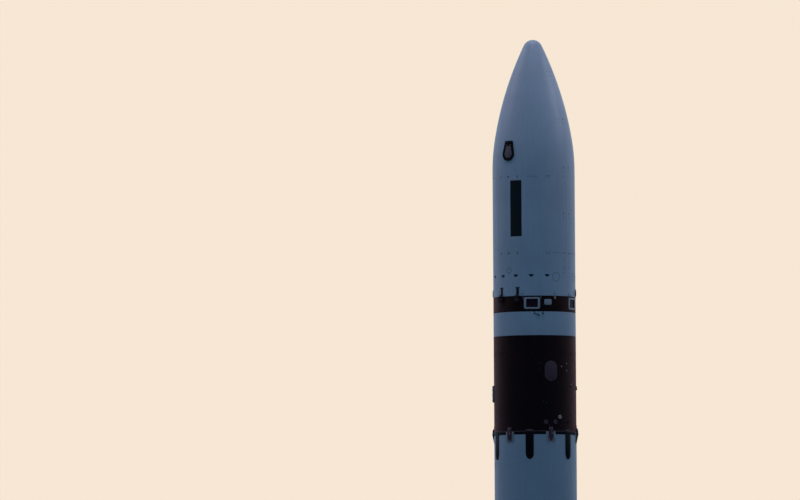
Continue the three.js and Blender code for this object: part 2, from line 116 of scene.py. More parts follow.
NOSE_ARCS = nose_arcs()
TANGENT = NOSE_ARCS[0][1]


def skin_at(height):
    """Radius and upward tilt of the outer skin at a height."""
    for centre, level, radius, start, end in NOSE_ARCS:
        if level + radius * sin(start) <= height <= level + radius * sin(end):
            tilt = asin((height - level) / radius)
            return centre + radius * cos(tilt), tilt
    return BODY, 0.0


def spot(radius, azimuth, height):
    """A point by radius, azimuth and height."""
    turn = radians(azimuth)
    return Vector((radius * sin(turn), -radius * cos(turn), height))


def on_skin(across, height, offset, azimuth):
    """A point that lies across metres to the right of an azimuth and offset off the skin."""
    radius, tilt = skin_at(height)
    local = azimuth + degrees(asin(across / radius))
    return spot(radius + offset * cos(tilt), local, height + offset * sin(tilt))


def outward_at(azimuth, height):
    """The skin's outward direction."""
    tilt = skin_at(height)[1]
    return (spot(cos(tilt), azimuth, sin(tilt))).normalized()


# Nodes


def joined(operation, swapped=False):
    """A method that joins a wire and another value with one Math node."""

    def method(self, other):
        return self.graph.math(operation, *((other, self) if swapped else (self, other)))

    return method


class Wire:
    """An output socket that takes part in sums."""

    __add__, __radd__ = joined("ADD"), joined("ADD", swapped=True)
    __sub__, __rsub__ = joined("SUBTRACT"), joined("SUBTRACT", swapped=True)
    __mul__, __rmul__ = joined("MULTIPLY"), joined("MULTIPLY", swapped=True)
    __truediv__, __rtruediv__ = joined("DIVIDE"), joined("DIVIDE", swapped=True)
    __gt__, __lt__ = joined("GREATER_THAN"), joined("LESS_THAN")

    def __init__(self, graph, node, output=0):
        self.graph, self.node = graph, node
        self.socket = node.outputs[output] if len(node.outputs) else None

    def out(self, name):
        """Another output of the same node."""
        return Wire(self.graph, self.node, name)

    def of(self, operation):
        """The result of a Math operation by name."""
        return self.graph.math(operation, self)

    def spread(self, low, high, to_low=0.0, to_high=1.0):
        """The value moved from one range to another and kept inside it."""
        ends = {"From Min": low, "From Max": high, "To Min": to_low, "To Max": to_high}
        return self.graph.node("ShaderNodeMapRange", {"Value": self, **ends})


class Graph:
    """Adds nodes to a shader, world or geometry tree."""

    def __init__(self, tree):
        self.tree = tree

    def node(self, kind, inputs=None, output=0, **settings):
        """Add a node, set its settings first, then the values or links of its sockets."""
        made = self.tree.nodes.new(kind)
        for name, value in settings.items():
            if name == "stops":
                self.set_stops(made.color_ramp, value)
            else:
                setattr(made, name, value)
        for name, value in (inputs or {}).items():
            for part in value if isinstance(value, list) else [value]:
                if isinstance(part, Wire):
                    self.tree.links.new(part.socket, made.inputs[name])
                else:
                    made.inputs[name].default_value = part
        return Wire(self, made, output)

    @staticmethod
    def set_stops(ramp, stops):
        """Give a ramp its (position, colour) stops."""
        while len(ramp.elements) < len(stops):
            ramp.elements.new(1.0)
        for element, (position, colour) in zip(ramp.elements, stops):
            element.position, element.color = position, (*colour, 1.0)

    def math(self, operation, *values):
        """One Math node."""
        return self.node("ShaderNodeMath", dict(enumerate(values)), operation=operation)


class Finish(Graph):
    """A material on object coordinates."""

    def __init__(self, name):
        self.material = bpy.data.materials.new(name)
        self.material.use_nodes = True
        super().__init__(self.material.node_tree)
        self.tree.nodes.clear()
        self.here = self.node("ShaderNodeTexCoord").out("Object")
        self.parts = self.node("ShaderNodeSeparateXYZ", {"Vector": self.here})

    def azimuth(self):
        """Degrees round the centre line, -180 to 180."""
        return self.math("ARCTAN2", self.parts.out("X"), self.parts.out("Y") * -1.0) * degrees(1)

    def noise(self, size, detail=3.0, roughness=0.5, stretch=(1, 1, 1)):
        """Soft noise with features of about a size in metres."""
        place = self.node("ShaderNodeMapping", {"Vector": self.here, "Scale": stretch})
        inputs = {"Vector": place, "Scale": 1 / size, "Detail": detail, "Roughness": roughness}
        return self.node("ShaderNodeTexNoise", inputs)

    def scratches(self, size, stretch):
        """Distance to the nearest edge between scattered cells."""
        place = self.node("ShaderNodeMapping", {"Vector": self.here, "Scale": stretch})
        inputs = {"Vector": place, "Scale": 1 / size}
        return self.node("ShaderNodeTexVoronoi", inputs, "Distance", feature="DISTANCE_TO_EDGE")

    def mix(self, share, low, high):
        """A colour between two colours."""
        low, high = (end if isinstance(end, Wire) else (*end, 1.0) for end in (low, high))
        return self.node("ShaderNodeMix", {0: share, 6: low, 7: high}, 2, data_type="RGBA")

    def bump(self, height, depth, after=None):
        """A normal pushed by a height between 0 and 1."""
        inputs = {"Height": height, "Distance": depth}
        if after:
            inputs["Normal"] = after
        return self.node("ShaderNodeBump", inputs)

    def surface(self, **sockets):
        """The shader itself, with its sockets by name."""
        inputs = {name.replace("_", " "): value for name, value in sockets.items()}
        shader = self.node("ShaderNodeBsdfPrincipled", inputs)
        self.node("ShaderNodeOutputMaterial", {"Surface": shader})
        return self.material


# Finishes. Each takes the user's colours and gives a material.


def shade(colour, share):
    """A colour made lighter or darker."""
    return tuple(part * share for part in colour)


def painted(name, colour, roll_mark=False, welds=False):
    """Gloss paint over metal or composite: broad tone, rain streaks, orange peel."""
    f = Finish(name)
    tone = f.noise(0.7, 4.0, 0.55).spread(0.35, 0.65)
    streak = f.noise(0.045, 3.0, 0.6, (1, 1, 0.06)).spread(0.42, 0.75)
    dust = f.noise(0.02, 5.0, 0.7).spread(0.55, 0.8)
    base = f.mix(tone, shade(colour, 0.9), colour)
    base = f.mix(streak * 0.22, base, shade(colour, 0.72))
    base = f.mix(dust * 0.12, base, (0.36, 0.33, 0.3))
    coat = 0.25
    if roll_mark:
        middle, half_width, low, high = 12.0, 8.7, 9.6, 10.5
        side, height = (f.azimuth() - middle).of("ABSOLUTE"), f.parts.out("Z")
        mark = (side < half_width) * (height > low) * (height < high)
        base = f.mix(mark, base, (0.012, 0.003, 0.002))
        coat = coat - coat * mark
    normal = f.bump(f.noise(0.006, 2.0), 0.0004)
    sag = f.noise(0.35, 2.0, 0.4, (1, 1, 0.5))
    normal = f.bump(sag, 0.006 if welds else 0.004, normal)
    rough = 0.34 + 0.14 * streak + 0.08 * dust
    return f.surface(Base_Color=base, Roughness=rough, Normal=normal, Coat_Weight=coat, Coat_Roughness=0.25)


def composite(name, colour):
    """Black woven composite under a thin satin coat, with a twill in its bump."""
    f = Finish(name)
    around = f.azimuth() * (radians(1) * BODY)
    height = f.parts.out("Z")
    twill = 0.012
    warp = ((around + height) * (2 * pi / twill)).of("SINE")
    weft = ((around - height) * (pi / twill)).of("SINE")
    weave = (warp * weft).spread(-1.0, 1.0)
    cloud = f.noise(0.5, 4.0, 0.6).spread(0.35, 0.7)
    scuff = f.noise(0.05, 5.0, 0.7, (1, 1, 0.2)).spread(0.58, 0.78)
    base = f.mix(cloud * 0.6 + weave * 0.15, shade(colour, 0.7), shade(colour, 1.5))
    base = f.mix(scuff * 0.35, base, shade(colour, 3.0))
    normal = f.bump(weave, 0.0003)
    normal = f.bump(f.noise(0.25, 2.0), 0.003, normal)
    return f.surface(
        Base_Color=base, Roughness=0.46 + 0.12 * cloud, Normal=normal, Specular_IOR_Level=0.12,
        Sheen_Weight=1.0, Sheen_Roughness=0.42, Sheen_Tint=(1.0, 0.38, 0.27, 1.0),
    )


def satin(name, colour, wear=(0.3, 0.3, 0.3), roughness=0.5, metallic=0.0, shine=0.5):
    """Moulded or coated parts: fine grain, soft blotches and rubbed high spots."""
    f = Finish(name)
    blotch = f.noise(0.12, 4.0, 0.6).spread(0.35, 0.7)
    rubbed = f.noise(0.03, 6.0, 0.75).spread(0.6, 0.8)
    base = f.mix(blotch, shade(colour, 0.8), shade(colour, 1.12))
    base = f.mix(rubbed * 0.35, base, wear)
    normal = f.bump(f.noise(0.003, 2.0), 0.0003)
    rough = roughness + 0.14 * blotch - 0.1 * rubbed
    gloss = {"Metallic": metallic, "Specular_IOR_Level": shine}
    return f.surface(Base_Color=base, Roughness=rough, Normal=normal, **gloss)


def machined(name, colour, roughness=0.34):
    """Bare metal: turning marks, faint stains and small scratches."""
    f = Finish(name)
    marks = f.noise(0.03, 4.0, 0.7, (1, 1, 14))
    stain = f.noise(0.25, 5.0, 0.6).spread(0.35, 0.7)
    scratch = f.scratches(0.04, (1, 1, 5)).spread(0.0, 0.02, 1.0, 0.0)
    base = f.mix(stain, shade(colour, 0.72), colour)
    base = f.mix(scratch * 0.3, base, shade(colour, 1.25))
    normal = f.bump(marks, 0.0003)
    rough = roughness + 0.18 * stain + 0.08 * marks
    return f.surface(Base_Color=base, Roughness=rough, Metallic=0.92, Normal=normal)


def fired_metal(name, colour):
    """Nozzle alloy: bands of heat tint over a brushed skin, soot towards the mouth."""
    f = Finish(name)
    height = f.parts.out("Z")
    wander = f.noise(0.08, 4.0, 0.6) * 0.06
    band = (height + wander).spread(-0.32, 0.12)
    stops = [
        (0.0, shade(colour, 0.35)),
        (0.16, (0.15, 0.12, 0.13)),
        (0.34, (0.14, 0.14, 0.18)),
        (0.5, (0.4, 0.27, 0.17)),
        (0.72, colour),
        (1.0, shade(colour, 1.2)),
    ]
    tint = f.node("ShaderNodeValToRGB", {"Fac": band}, stops=stops)
    soot = f.noise(0.05, 5.0, 0.7, (1, 1, 0.3)).spread(0.45, 0.75) * (1 - band)
    base = f.mix(soot * 0.8, tint, (0.02, 0.018, 0.017))
    normal = f.bump(f.noise(0.01, 4.0, 0.7, (1, 1, 6)), 0.0004)
    return f.surface(Base_Color=base, Roughness=0.3 + 0.35 * soot, Metallic=1 - 0.7 * soot, Normal=normal)


def blanket(name, colour):
    """Woven heat blanket: fine weave, creases with painted shade in their hollows, and scorched patches."""
    f = Finish(name)
    threads = 2600.0
    weave = (f.parts.out("X") * threads).of("SINE") * (f.parts.out("Y") * threads).of("SINE")
    crease_and_shade = f.noise(0.06, 5.0, 0.65)
    scorch = f.noise(0.2, 4.0, 0.6).spread(0.48, 0.72)
    # The crease noise that raises the bump also darkens its hollows: painted shade in the creases
    base = f.mix(crease_and_shade.spread(0.3, 0.7), shade(colour, 0.75), shade(colour, 1.25))
    base = f.mix(scorch * 0.6, base, (0.1, 0.085, 0.07))
    normal = f.bump(weave.spread(-1.0, 1.0), 0.0003)
    normal = f.bump(crease_and_shade, 0.006, normal)
    return f.surface(Base_Color=base, Roughness=0.62, Metallic=0.25, Normal=normal)


def wound(name, colour):
    """Filament-wound bottle: crossing bands of fibre under clear resin."""
    f = Finish(name)
    slope, threads = 27.0, 900.0
    turn, height = f.azimuth() * slope, f.parts.out("Z") * threads
    cross = ((height + turn).of("SINE") * (height - turn).of("SINE")).spread(-1.0, 1.0)
    base = f.mix(cross * 0.7, shade(colour, 0.6), shade(colour, 2.4))
    normal = f.bump(cross, 0.0004)
    return f.surface(Base_Color=base, Roughness=0.28, Normal=normal, Coat_Weight=0.6, Coat_Roughness=0.12)


# name: (record slot, maker, fixed arguments)
FINISHES = {
    "fairing_paint": ("white_paint", painted, {}),
    "marked_fairing_paint": ("white_paint", painted, {"roll_mark": True}),
    # The tank paint is the white paint made darker: painted shade on the tanks, skirt and raceways
    "tank_paint": ("white_paint", painted, {"welds": True}),
    "frame_paint": ("white_paint", painted, {}),
    "black_composite": ("black_composite", composite, {}),
    "satin_black": ("black_composite", satin, {"roughness": 0.42, "wear": (0.05, 0.03, 0.03), "shine": 0.15}),
    "rubber": ("black_composite", satin, {"roughness": 0.6, "wear": (0.06, 0.06, 0.06)}),
    "dark_pane": ("black_composite", satin, {"roughness": 0.3, "wear": (0.08, 0.05, 0.08), "shine": 0.1}),
    "hatch_grey": ("grey_cover", satin, {}),
    "flap_grey": ("grey_cover", satin, {"roughness": 0.45}),
    "pad_grey": ("grey_cover", satin, {"roughness": 0.55}),
    "latch_pad": ("grey_cover", satin, {}),
    "latch_grey": ("dark_metal", satin, {"roughness": 0.45}),
    # Bronze of the flanges and knuckles, and on the joint's lip a painted edge highlight
    "lip_bronze": ("dark_metal", satin, {"roughness": 0.45, "wear": (0.2, 0.16, 0.14)}),
    "cap_alloy": ("grey_cover", satin, {}),
    # Dark teal of the vent insets and slats: painted shade inside the vent openings
    "vent_teal": ("grey_cover", satin, {"wear": (0.05, 0.09, 0.1)}),
    "dark_metal": ("dark_metal", satin, {"roughness": 0.4, "metallic": 0.75}),
    "steel": ("dark_metal", machined, {"roughness": 0.3}),
    "bright_metal": ("bare_aluminium", machined, {"roughness": 0.28}),
    "bare_aluminium": ("bare_aluminium", machined, {}),
    "engine_metal": ("engine_metal", fired_metal, {}),
    "heat_blanket": ("heat_blanket", blanket, {}),
    "acoustic_liner": ("heat_blanket", blanket, {}),
    "bottle_wrap": ("black_composite", wound, {}),
}
# Finishes that take another finish's colour
COLOUR_OF = {
    "marked_fairing_paint": "white_paint",
    "fairing_paint": "white_paint",
    "bottle_wrap": "black_composite",
}
ready = {}


def finish(name):
    """The material of a finish, made once."""
    if name not in ready:
        _, maker, fixed = FINISHES[name]
        colour = getattr(bpy.context.scene.rocket_colours, COLOUR_OF.get(name, name))
        ready[name] = maker(name, tuple(colour), **fixed)
    return ready[name]


# Shapes


class Shape:
    """A mesh in the making."""

    def __init__(self):
        self.mesh = bmesh.new()

    def loft(self, rings, capped=True):
        """Skin a row of rings of points; an open one gives back its rows of vertices."""
        rows = [[self.mesh.verts.new(point) for point in ring] for ring in rings]
        count = len(rows[0])
        for below, above in zip(rows, rows[1:]):
            for k in range(count):
                n = (k + 1) % count
                self.mesh.faces.new((below[k], below[n], above[n], above[k]))
        if not capped:
            return rows
        self.mesh.faces.new(rows[0][::-1])
        self.mesh.faces.new(rows[-1])
        return self

    def prism(self, ring, levels, azimuth=0.0):
        """An upright piece on a flat ring, drawn at azimuth 0 and turned to its place."""
        return self.loft([[about(azimuth, (x, y, z)) for x, y in ring] for z in levels])

    def box(self, low, high, azimuth=0.0):
        """A block, drawn and turned like a prism."""
        (x0, y0, z0), (x1, y1, z1) = low, high
        return self.prism([(x0, y0), (x1, y0), (x1, y1), (x0, y1)], (z0, z1), azimuth)

    def rod(self, start, end, radius, sides, end_radius=None):
        """A round bar or cone between two points."""
        start, end = Vector(start), Vector(end)
        ends = ((start, radius), (end, end_radius or radius))
        return self.loft([circle(at, end - start, r, sides) for at, r in ends])

    def sleeve(self, start, end, outer, inner, sides):
        """A short pipe between two points."""
        rings = [(start, outer), (end, outer), (end, inner), (start, inner), (start, outer)]
        self.loft([circle(at, end - start, r, sides) for at, r in rings], capped=False)
        return self

    def turned(self, outline, sides, centre=(0, 0, 0)):
        """Turn a closed outline of (radius, height) points about a vertical line."""
        middle = Vector(centre)
        rings = [[middle + spot(r, 360 * k / sides, z) for r, z in outline] for k in range(sides)]
        self.loft([*rings, rings[0]], capped=False)
        return self

    def slab(self, outline, azimuth, half_width, middle=0.0):
        """A flat-sided piece whose side view is given as (radius, height) points."""
        return self.loft([
            [about(azimuth, (middle + side, -r, z)) for r, z in outline] for side in (-half_width, half_width)
        ])

    def panel(self, outline, azimuth, inner, outer, holes=(), step=0.02, rise=0.0):
        """A plate that follows the skin, with its outline in (across, height) points."""
        flat = flat_sheet(outline, holes, step, rise)
        spots = [(v.co.x, v.co.z) for v in flat.verts]
        under, over = (
            [self.mesh.verts.new(on_skin(x, z, offset, azimuth)) for x, z in spots]
            for offset in (inner, outer)
        )
        self.close_sheet(flat, under, over)
        return self

    def close_sheet(self, flat, under, over):
        """Join two copies of a flat sheet with walls along its edges."""
        flat.verts.index_update()
        for face in flat.faces:
            ring = [v.index for v in face.verts]
            self.mesh.faces.new([over[k] for k in ring])
            self.mesh.faces.new([under[k] for k in reversed(ring)])
        for edge in flat.edges:
            if edge.is_boundary:
                a, b = (v.index for v in edge.verts)
                self.mesh.faces.new((under[a], under[b], over[b], over[a]))
        flat.free()

    def data(self, name):
        """The finished mesh, welded and with its faces outwards."""
        bmesh.ops.remove_doubles(self.mesh, verts=self.mesh.verts, dist=1e-5)
        bmesh.ops.recalc_face_normals(self.mesh, faces=self.mesh.faces)
        mesh = bpy.data.meshes.new(name)
        self.mesh.to_mesh(mesh)
        self.mesh.free()
        return mesh


def about(azimuth, point):
    """Turn a point drawn at azimuth 0 to another azimuth."""
    turn = radians(azimuth)
    x, y, z = point
    return Vector((x * cos(turn) - y * sin(turn), x * sin(turn) + y * cos(turn), z))


def circle(middle, along, radius, sides):
    """Points of a circle square to a direction."""
    turn = Vector(along).to_track_quat("Z", "Y")
    angles = (2 * pi * k / sides for k in range(sides))
    return [Vector(middle) + turn @ Vector((radius * cos(a), radius * sin(a), 0)) for a in angles]


def flat_sheet(outline, holes, step, rise):
    """A flat outline with holes, cut into columns and rows so that it can be bent."""
    flat = bmesh.new()
    edges = []
    for loop in (outline, *holes):
        verts = [flat.verts.new((x, 0, z)) for x, z in loop]
        edges += [flat.edges.new(pair) for pair in zip(verts, verts[1:] + verts[:1])]
    bmesh.ops.triangle_fill(flat, edges=edges, use_beauty=True, use_dissolve=True, normal=(0, -1, 0))
    for axis, spacing, direction in ((0, step, Vector((1, 0, 0))), (2, rise, Vector((0, 0, 1)))):
        if not spacing:
            continue
        values = [v.co[axis] for v in flat.verts]
        for k in range(ceil(min(values) / spacing), floor(max(values) / spacing) + 1):
            whole = [*flat.verts, *flat.edges, *flat.faces]
            plane = {"plane_co": direction * k * spacing, "plane_no": direction}
            bmesh.ops.bisect_plane(flat, geom=whole, dist=1e-5, **plane)
    return flat


def arc(centre, radius, start, end, steps):
    """Points of an arc in a flat outline, degrees from +across towards +height."""
    angles = (radians(start + (end - start) * k / steps) for k in range(steps + 1))
    return [(centre[0] + radius * cos(a), centre[1] + radius * sin(a)) for a in angles]


def rounded(half_width, base, top, radius, steps=6):
    """A rounded rectangle; radius may be four values from lower right, going up and round."""
    radii = radius if isinstance(radius, tuple) else (radius,) * 4
    corners = [(1, -1, base, -90), (1, 1, top, 0), (-1, 1, top, 90), (-1, -1, base, 180)]
    outline = []
    for (side, up, level, start), r in zip(corners, radii):
        centre = (side * (half_width - r), level - up * r)
        outline += arc(centre, r, start, start + 90, steps) if r else [(side * half_width, level)]
    return outline


def disc(across, height, radius, steps=24):
    """A round outline."""
    return arc((across, height), radius, 0, 360, steps)[:-1]


# Objects


def settle(thing, look, body="booster", nodes=(), bevel=0.0, sharp=32.0):
    """Bevel and smooth a finished object, give it its finish, and let it ride."""
    if bevel:
        round_edges(thing, bevel)
    mesh = thing.data
    mesh.polygons.foreach_set("use_smooth", [True] * len(mesh.polygons))
    mesh.set_sharp_from_angle(angle=radians(sharp))
    for label in ("turn", "outward", "size", "flute"):
        if label in mesh.attributes:
            mesh.attributes.remove(mesh.attributes[label])
    mesh.materials.clear()
    mesh.materials.append(finish(look))
    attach(thing, body)
    if nodes:
        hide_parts(*nodes)
    return thing


def place(name, shape, look, body="booster", nodes=(), **edges):
    """Make an object of a shape and settle it."""
    return settle(new_object(name, shape.data(name)), look, body, nodes, **edges)


def new_object(name, data):
    """An object in the scene."""
    thing = bpy.data.objects.new(name, data)
    bpy.context.scene.collection.objects.link(thing)
    return thing


def discard(thing):
    """Remove an object that was only needed to make another."""
    mesh = thing.data
    bpy.data.objects.remove(thing)
    bpy.data.meshes.remove(mesh)


def bake_mesh(thing):
    """Turn an object's modifiers into its mesh."""
    depsgraph = bpy.context.evaluated_depsgraph_get()
    plain = bpy.data.meshes.new_from_object(thing.evaluated_get(depsgraph), depsgraph=depsgraph)
    thing.modifiers.clear()
    old, thing.data = thing.data, plain
    plain.name = old.name
    bpy.data.meshes.remove(old)


def round_edges(thing, width):
    """Bevel an object's edges."""
    cut = thing.modifiers.new("Edges", "BEVEL")
    cut.width, cut.segments, cut.limit_method = width, 2, "ANGLE"
    cut.angle_limit = radians(35)
    bake_mesh(thing)


def carve(thing, cutter):
    """Cut a shape out of an object."""
    tool = new_object("cutter", cutter.data("cutter"))
    cut = thing.modifiers.new("Cut", "BOOLEAN")
    cut.operation, cut.solver, cut.object = "DIFFERENCE", "EXACT", tool
    bake_mesh(thing)
    discard(tool)


# Geometry trees


def new_tree(name, sizes):
    """A geometry tree with named inputs; gives its graph and its entry."""
    tree = bpy.data.node_groups.new(name, "GeometryNodeTree")
    tree.interface.new_socket("Geometry", in_out="INPUT", socket_type="NodeSocketGeometry")
    for label, kind in sizes.items():
        tree.interface.new_socket(label, in_out="INPUT", socket_type="NodeSocket" + kind)
    tree.interface.new_socket("Geometry", in_out="OUTPUT", socket_type="NodeSocketGeometry")
    graph = Graph(tree)
    return graph, graph.node("NodeGroupInput")


def named(graph, label, kind="FLOAT"):
    """Reads a named attribute of the points."""
    return graph.node("GeometryNodeInputNamedAttribute", {"Name": label}, data_type=kind)


def end_tree(graph, entry, geometry):
    """Realize the copies, set the material and close the tree."""
    real = graph.node("GeometryNodeRealizeInstances", {"Geometry": geometry})
    inputs = {"Geometry": real, "Material": entry.out("Material")}
    shown = graph.node("GeometryNodeSetMaterial", inputs)
    graph.node("NodeGroupOutput", {"Geometry": shown})
    return graph.tree


def turned_tree():
    """Turns an outline of (x, z) points about +Z, with optional flutes on marked points."""
    sizes = {
        "Sides": "Int", "Flutes": "Float", "Flute Depth": "Float", "Centre": "Vector", "Material": "Material",
    }
    g, entry = new_tree("turned_section", sizes)
    outline = entry.out("Geometry")
    count = g.node("GeometryNodeAttributeDomainSize", {"Geometry": outline}, component="MESH")
    columns = entry.out("Sides") + 1.0
    grid = g.node("GeometryNodeMeshGrid", {"Vertices X": columns, "Vertices Y": count})
    index = g.node("GeometryNodeInputIndex")
    column = ((index + 0.5) / count).of("FLOOR")
    row = index - column * count

    def sampled(value, kind):
        inputs = {"Geometry": outline, "Value": value, "Index": row}
        return g.node("GeometryNodeSampleIndex", inputs, data_type=kind, domain="POINT")

    place = sampled(g.node("GeometryNodeInputPosition"), "FLOAT_VECTOR")
    split = g.node("ShaderNodeSeparateXYZ", {"Vector": place})
    angle = column / entry.out("Sides") * (2 * pi)
    ripple = (angle * entry.out("Flutes")).of("COSINE") * entry.out("Flute Depth")
    radius = split.out("X") + ripple * sampled(named(g, "flute"), "FLOAT")
    inputs = {"X": radius * angle.of("SINE"), "Y": radius * angle.of("COSINE") * -1.0, "Z": split.out("Z")}
    spun = g.node("ShaderNodeCombineXYZ", inputs)
    moved = g.node("ShaderNodeVectorMath", {0: spun, 1: entry.out("Centre")}, operation="ADD")
    section = g.node("GeometryNodeSetPosition", {"Geometry": grid, "Position": moved})
    welded = g.node("GeometryNodeMergeByDistance", {"Geometry": section, "Distance": 1e-5})
    return end_tree(g, entry, welded)


def fastener_tree():
    """Puts a bolt head on a washer at each point, square to its outward direction."""
    sizes = {
        "Head Sides": "Int", "Head Share": "Float", "Head Rise": "Float", "Washer Rise": "Float",
        "Material": "Material",
    }
    g, entry = new_tree("fasteners", sizes)

    def plug(sides, radius, base, rise):
        made = g.node("GeometryNodeMeshCylinder", {"Vertices": sides, "Radius": radius, "Depth": rise})
        up = g.node("ShaderNodeCombineXYZ", {"Z": base + rise * 0.5})
        return g.node("GeometryNodeTransform", {"Geometry": made, "Translation": up})

    washer_rise = entry.out("Washer Rise")
    washer = plug(12, 1.0, 0.0, washer_rise)
    head = plug(entry.out("Head Sides"), entry.out("Head Share"), washer_rise, entry.out("Head Rise"))
    both = g.node("GeometryNodeJoinGeometry", {"Geometry": [washer, head]})
    outward = named(g, "outward", "FLOAT_VECTOR")
    facing = g.node("FunctionNodeAlignRotationToVector", {"Vector": outward}, axis="Z")
    size = named(g, "size")
    inputs = {"Points": entry.out("Geometry"), "Instance": both, "Rotation": facing, "Scale": size}
    return end_tree(g, entry, g.node("GeometryNodeInstanceOnPoints", inputs))


def copy_tree():
    """Copies an object to each point, turned by the point's own turn."""
    g, entry = new_tree("copies", {"Piece": "Object", "Material": "Material"})
    piece = g.node("GeometryNodeObjectInfo", {"Object": entry.out("Piece")}, "Geometry")
    facing = g.node("FunctionNodeEulerToRotation", {"Euler": named(g, "turn", "FLOAT_VECTOR")})
    inputs = {"Points": entry.out("Geometry"), "Instance": piece, "Rotation": facing}
    return end_tree(g, entry, g.node("GeometryNodeInstanceOnPoints", inputs))


def pipe_tree():
    """Runs a round pipe along each line of edges."""
    g, entry = new_tree("pipes", {"Radius": "Float", "Sides": "Int", "Material": "Material"})
    line = g.node("GeometryNodeMeshToCurve", {"Mesh": entry.out("Geometry")})
    inputs = {"Resolution": entry.out("Sides"), "Radius": entry.out("Radius")}
    ring = g.node("GeometryNodeCurvePrimitiveCircle", inputs, "Curve")
    inputs = {"Curve": line, "Profile Curve": ring, "Fill Caps": True}
    return end_tree(g, entry, g.node("GeometryNodeCurveToMesh", inputs))


TREE_MAKERS = {"turned": turned_tree, "fasteners": fastener_tree, "copies": copy_tree, "pipes": pipe_tree}
trees = {}


def grow(name, kind, look, points, values, edges=(), attributes=None):
    """Run a geometry tree on some points and keep the result as a plain mesh."""
    values = {**values, "Material": finish(look)}
    if kind not in trees:
        trees[kind] = TREE_MAKERS[kind]()
    tree = trees[kind]
    mesh = bpy.data.meshes.new(name)
    mesh.from_pydata([tuple(point) for point in points], edges, [])
    for label, (attribute_kind, rows) in (attributes or {}).items():
        layer = mesh.attributes.new(label, attribute_kind, "POINT")
        if attribute_kind == "FLOAT":
            layer.data.foreach_set("value", rows)
        else:
            layer.data.foreach_set("vector", [part for row in rows for part in row])
    thing = new_object(name, mesh)
    grower = thing.modifiers.new(name, "NODES")
    grower.node_group = tree
    for socket in tree.interface.items_tree:
        if socket.item_type == "SOCKET" and socket.in_out == "INPUT" and socket.name in values:
            grower[socket.identifier] = values[socket.name]
    bake_mesh(thing)
    return thing


def section(
    name, outline, look, body="booster", nodes=(), sides=144, centre=(0, 0, 0),
    flutes=((), 0.0, 0.0), **edges
):
    """A turned piece from a closed outline of (radius, height) points, fluted at the marked ones."""
    marks, count, depth = flutes
    values = {"Sides": sides, "Centre": centre, "Flutes": count, "Flute Depth": depth}
    points = [(r, 0, z) for r, z in (*outline, outline[0])]
    flags = [1.0 if k in marks else 0.0 for k in range(len(points))]
    thing = grow(name, "turned", look, points, values, attributes={"flute": ("FLOAT", flags)})
    outwards(thing.data)
    return settle(thing, look, body, nodes, **edges)


def outwards(mesh):
    """Turn all faces outwards."""
    work = bmesh.new()
    work.from_mesh(mesh)
    bmesh.ops.remove_doubles(work, verts=work.verts, dist=1e-6)
    bmesh.ops.recalc_face_normals(work, faces=work.faces)
    work.to_mesh(mesh)
    work.free()


def weld_beads(levels, radius):
    """Outline of raised beads up a wall; a flat strip beside each keeps the wall's shading even."""
    foot, crown, strip, rise = 0.009, 0.004, 0.003, 0.0012
    points = []
    for z in levels:
        lower = [(radius, z - foot - strip), (radius, z - foot), (radius + rise, z - crown)]
        points += [*lower, *((r, 2 * z - height) for r, height in lower[::-1])]
    return points


def barrel(base, top, beads=()):
    """Outline of a closed drum as wide as the body, with chamfered ends and weld beads."""
    chamfer = 0.003
    return [
        (0, base), (BODY - chamfer, base), (BODY, base + chamfer), *weld_beads(beads, BODY),
        (BODY, top - chamfer), (BODY - chamfer, top), (0, top),
    ]


def hoop(inner, outer, base, top, chamfer=0.002):
    """Outline of a ring with chamfered outer corners."""
    return [
        (inner, base), (outer - chamfer, base), (outer, base + chamfer),
        (outer, top - chamfer), (outer - chamfer, top), (inner, top),
    ]


HEADS = {
    "hex": {"Head Sides": 6, "Head Share": 0.62, "Head Rise": 0.5, "Washer Rise": 0.16},
    "flush": {"Head Sides": 12, "Head Share": 0.74, "Head Rise": 0.06, "Washer Rise": 0.1},
    "plug": {"Head Sides": 20, "Head Share": 0.9, "Head Rise": 0.12, "Washer Rise": 0.16},
}


def fasten(name, marks, look, body="booster", head="flush"):
    """Fasteners at (azimuth, height, radius of washer, offset off the skin) marks."""
    points = [on_skin(0.0, height, offset, azimuth) for azimuth, height, _, offset in marks]
    outward = [outward_at(azimuth, height) for azimuth, height, _, _ in marks]
    return fasten_points(name, points, outward, [mark[2] for mark in marks], look, body, head)


def fasten_points(name, points, outward, size, look, body="booster", head="hex"):
    """Fasteners at points; the outward direction and the size are one for all or one for each."""
    outward = outward if isinstance(outward, list) else [outward] * len(points)
    size = size if isinstance(size, list) else [size] * len(points)
    layers = {"outward": ("FLOAT_VECTOR", outward), "size": ("FLOAT", size)}
    thing = grow(name, "fasteners", look, points, HEADS[head], attributes=layers)
    return settle(thing, look, body)


def copies(name, shape, turns, look, nodes=(), bevel=0.0, **edges):
    """Copies of a shape turned about the centre line."""
    piece = new_object(name + "_piece", shape.data(name + "_piece"))
    if bevel:
        round_edges(piece, bevel)
    points, angles = [(0, 0, 0)] * len(turns), [(0, 0, radians(turn)) for turn in turns]
    layers = {"turn": ("FLOAT_VECTOR", angles)}
    thing = grow(name, "copies", look, points, {"Piece": piece}, attributes=layers)
    discard(piece)
    return settle(thing, look, nodes=nodes, **edges)


def pipes(name, lines, radius, look, body="booster", sides=10):
    """Round pipes along lines of points."""
    points, edges = [], []
    for line in lines:
        edges += [(k, k + 1) for k in range(len(points), len(points) + len(line) - 1)]
        points += line
    thing = grow(name, "pipes", look, points, {"Radius": radius, "Sides": sides}, edges=edges)
    outwards(thing.data)
    return settle(thing, look, body)


def row(count, height, radius, start=0.0, offset=0.0):
    """Fastener marks evenly round the body."""
    return [(start + 360 * k / count, height, radius, offset) for k in range(count)]


def wheel(azimuth, height, circle_radius, count, radius):
    """Fastener marks round a bolt circle on the skin."""
    marks = []
    for k in range(count):
        turn = radians(360 * k / count)
        level = height + circle_radius * sin(turn)
        across = degrees(circle_radius * cos(turn) / skin_at(level)[0])
        marks.append((azimuth + across, level, radius, 0.0))
    return marks


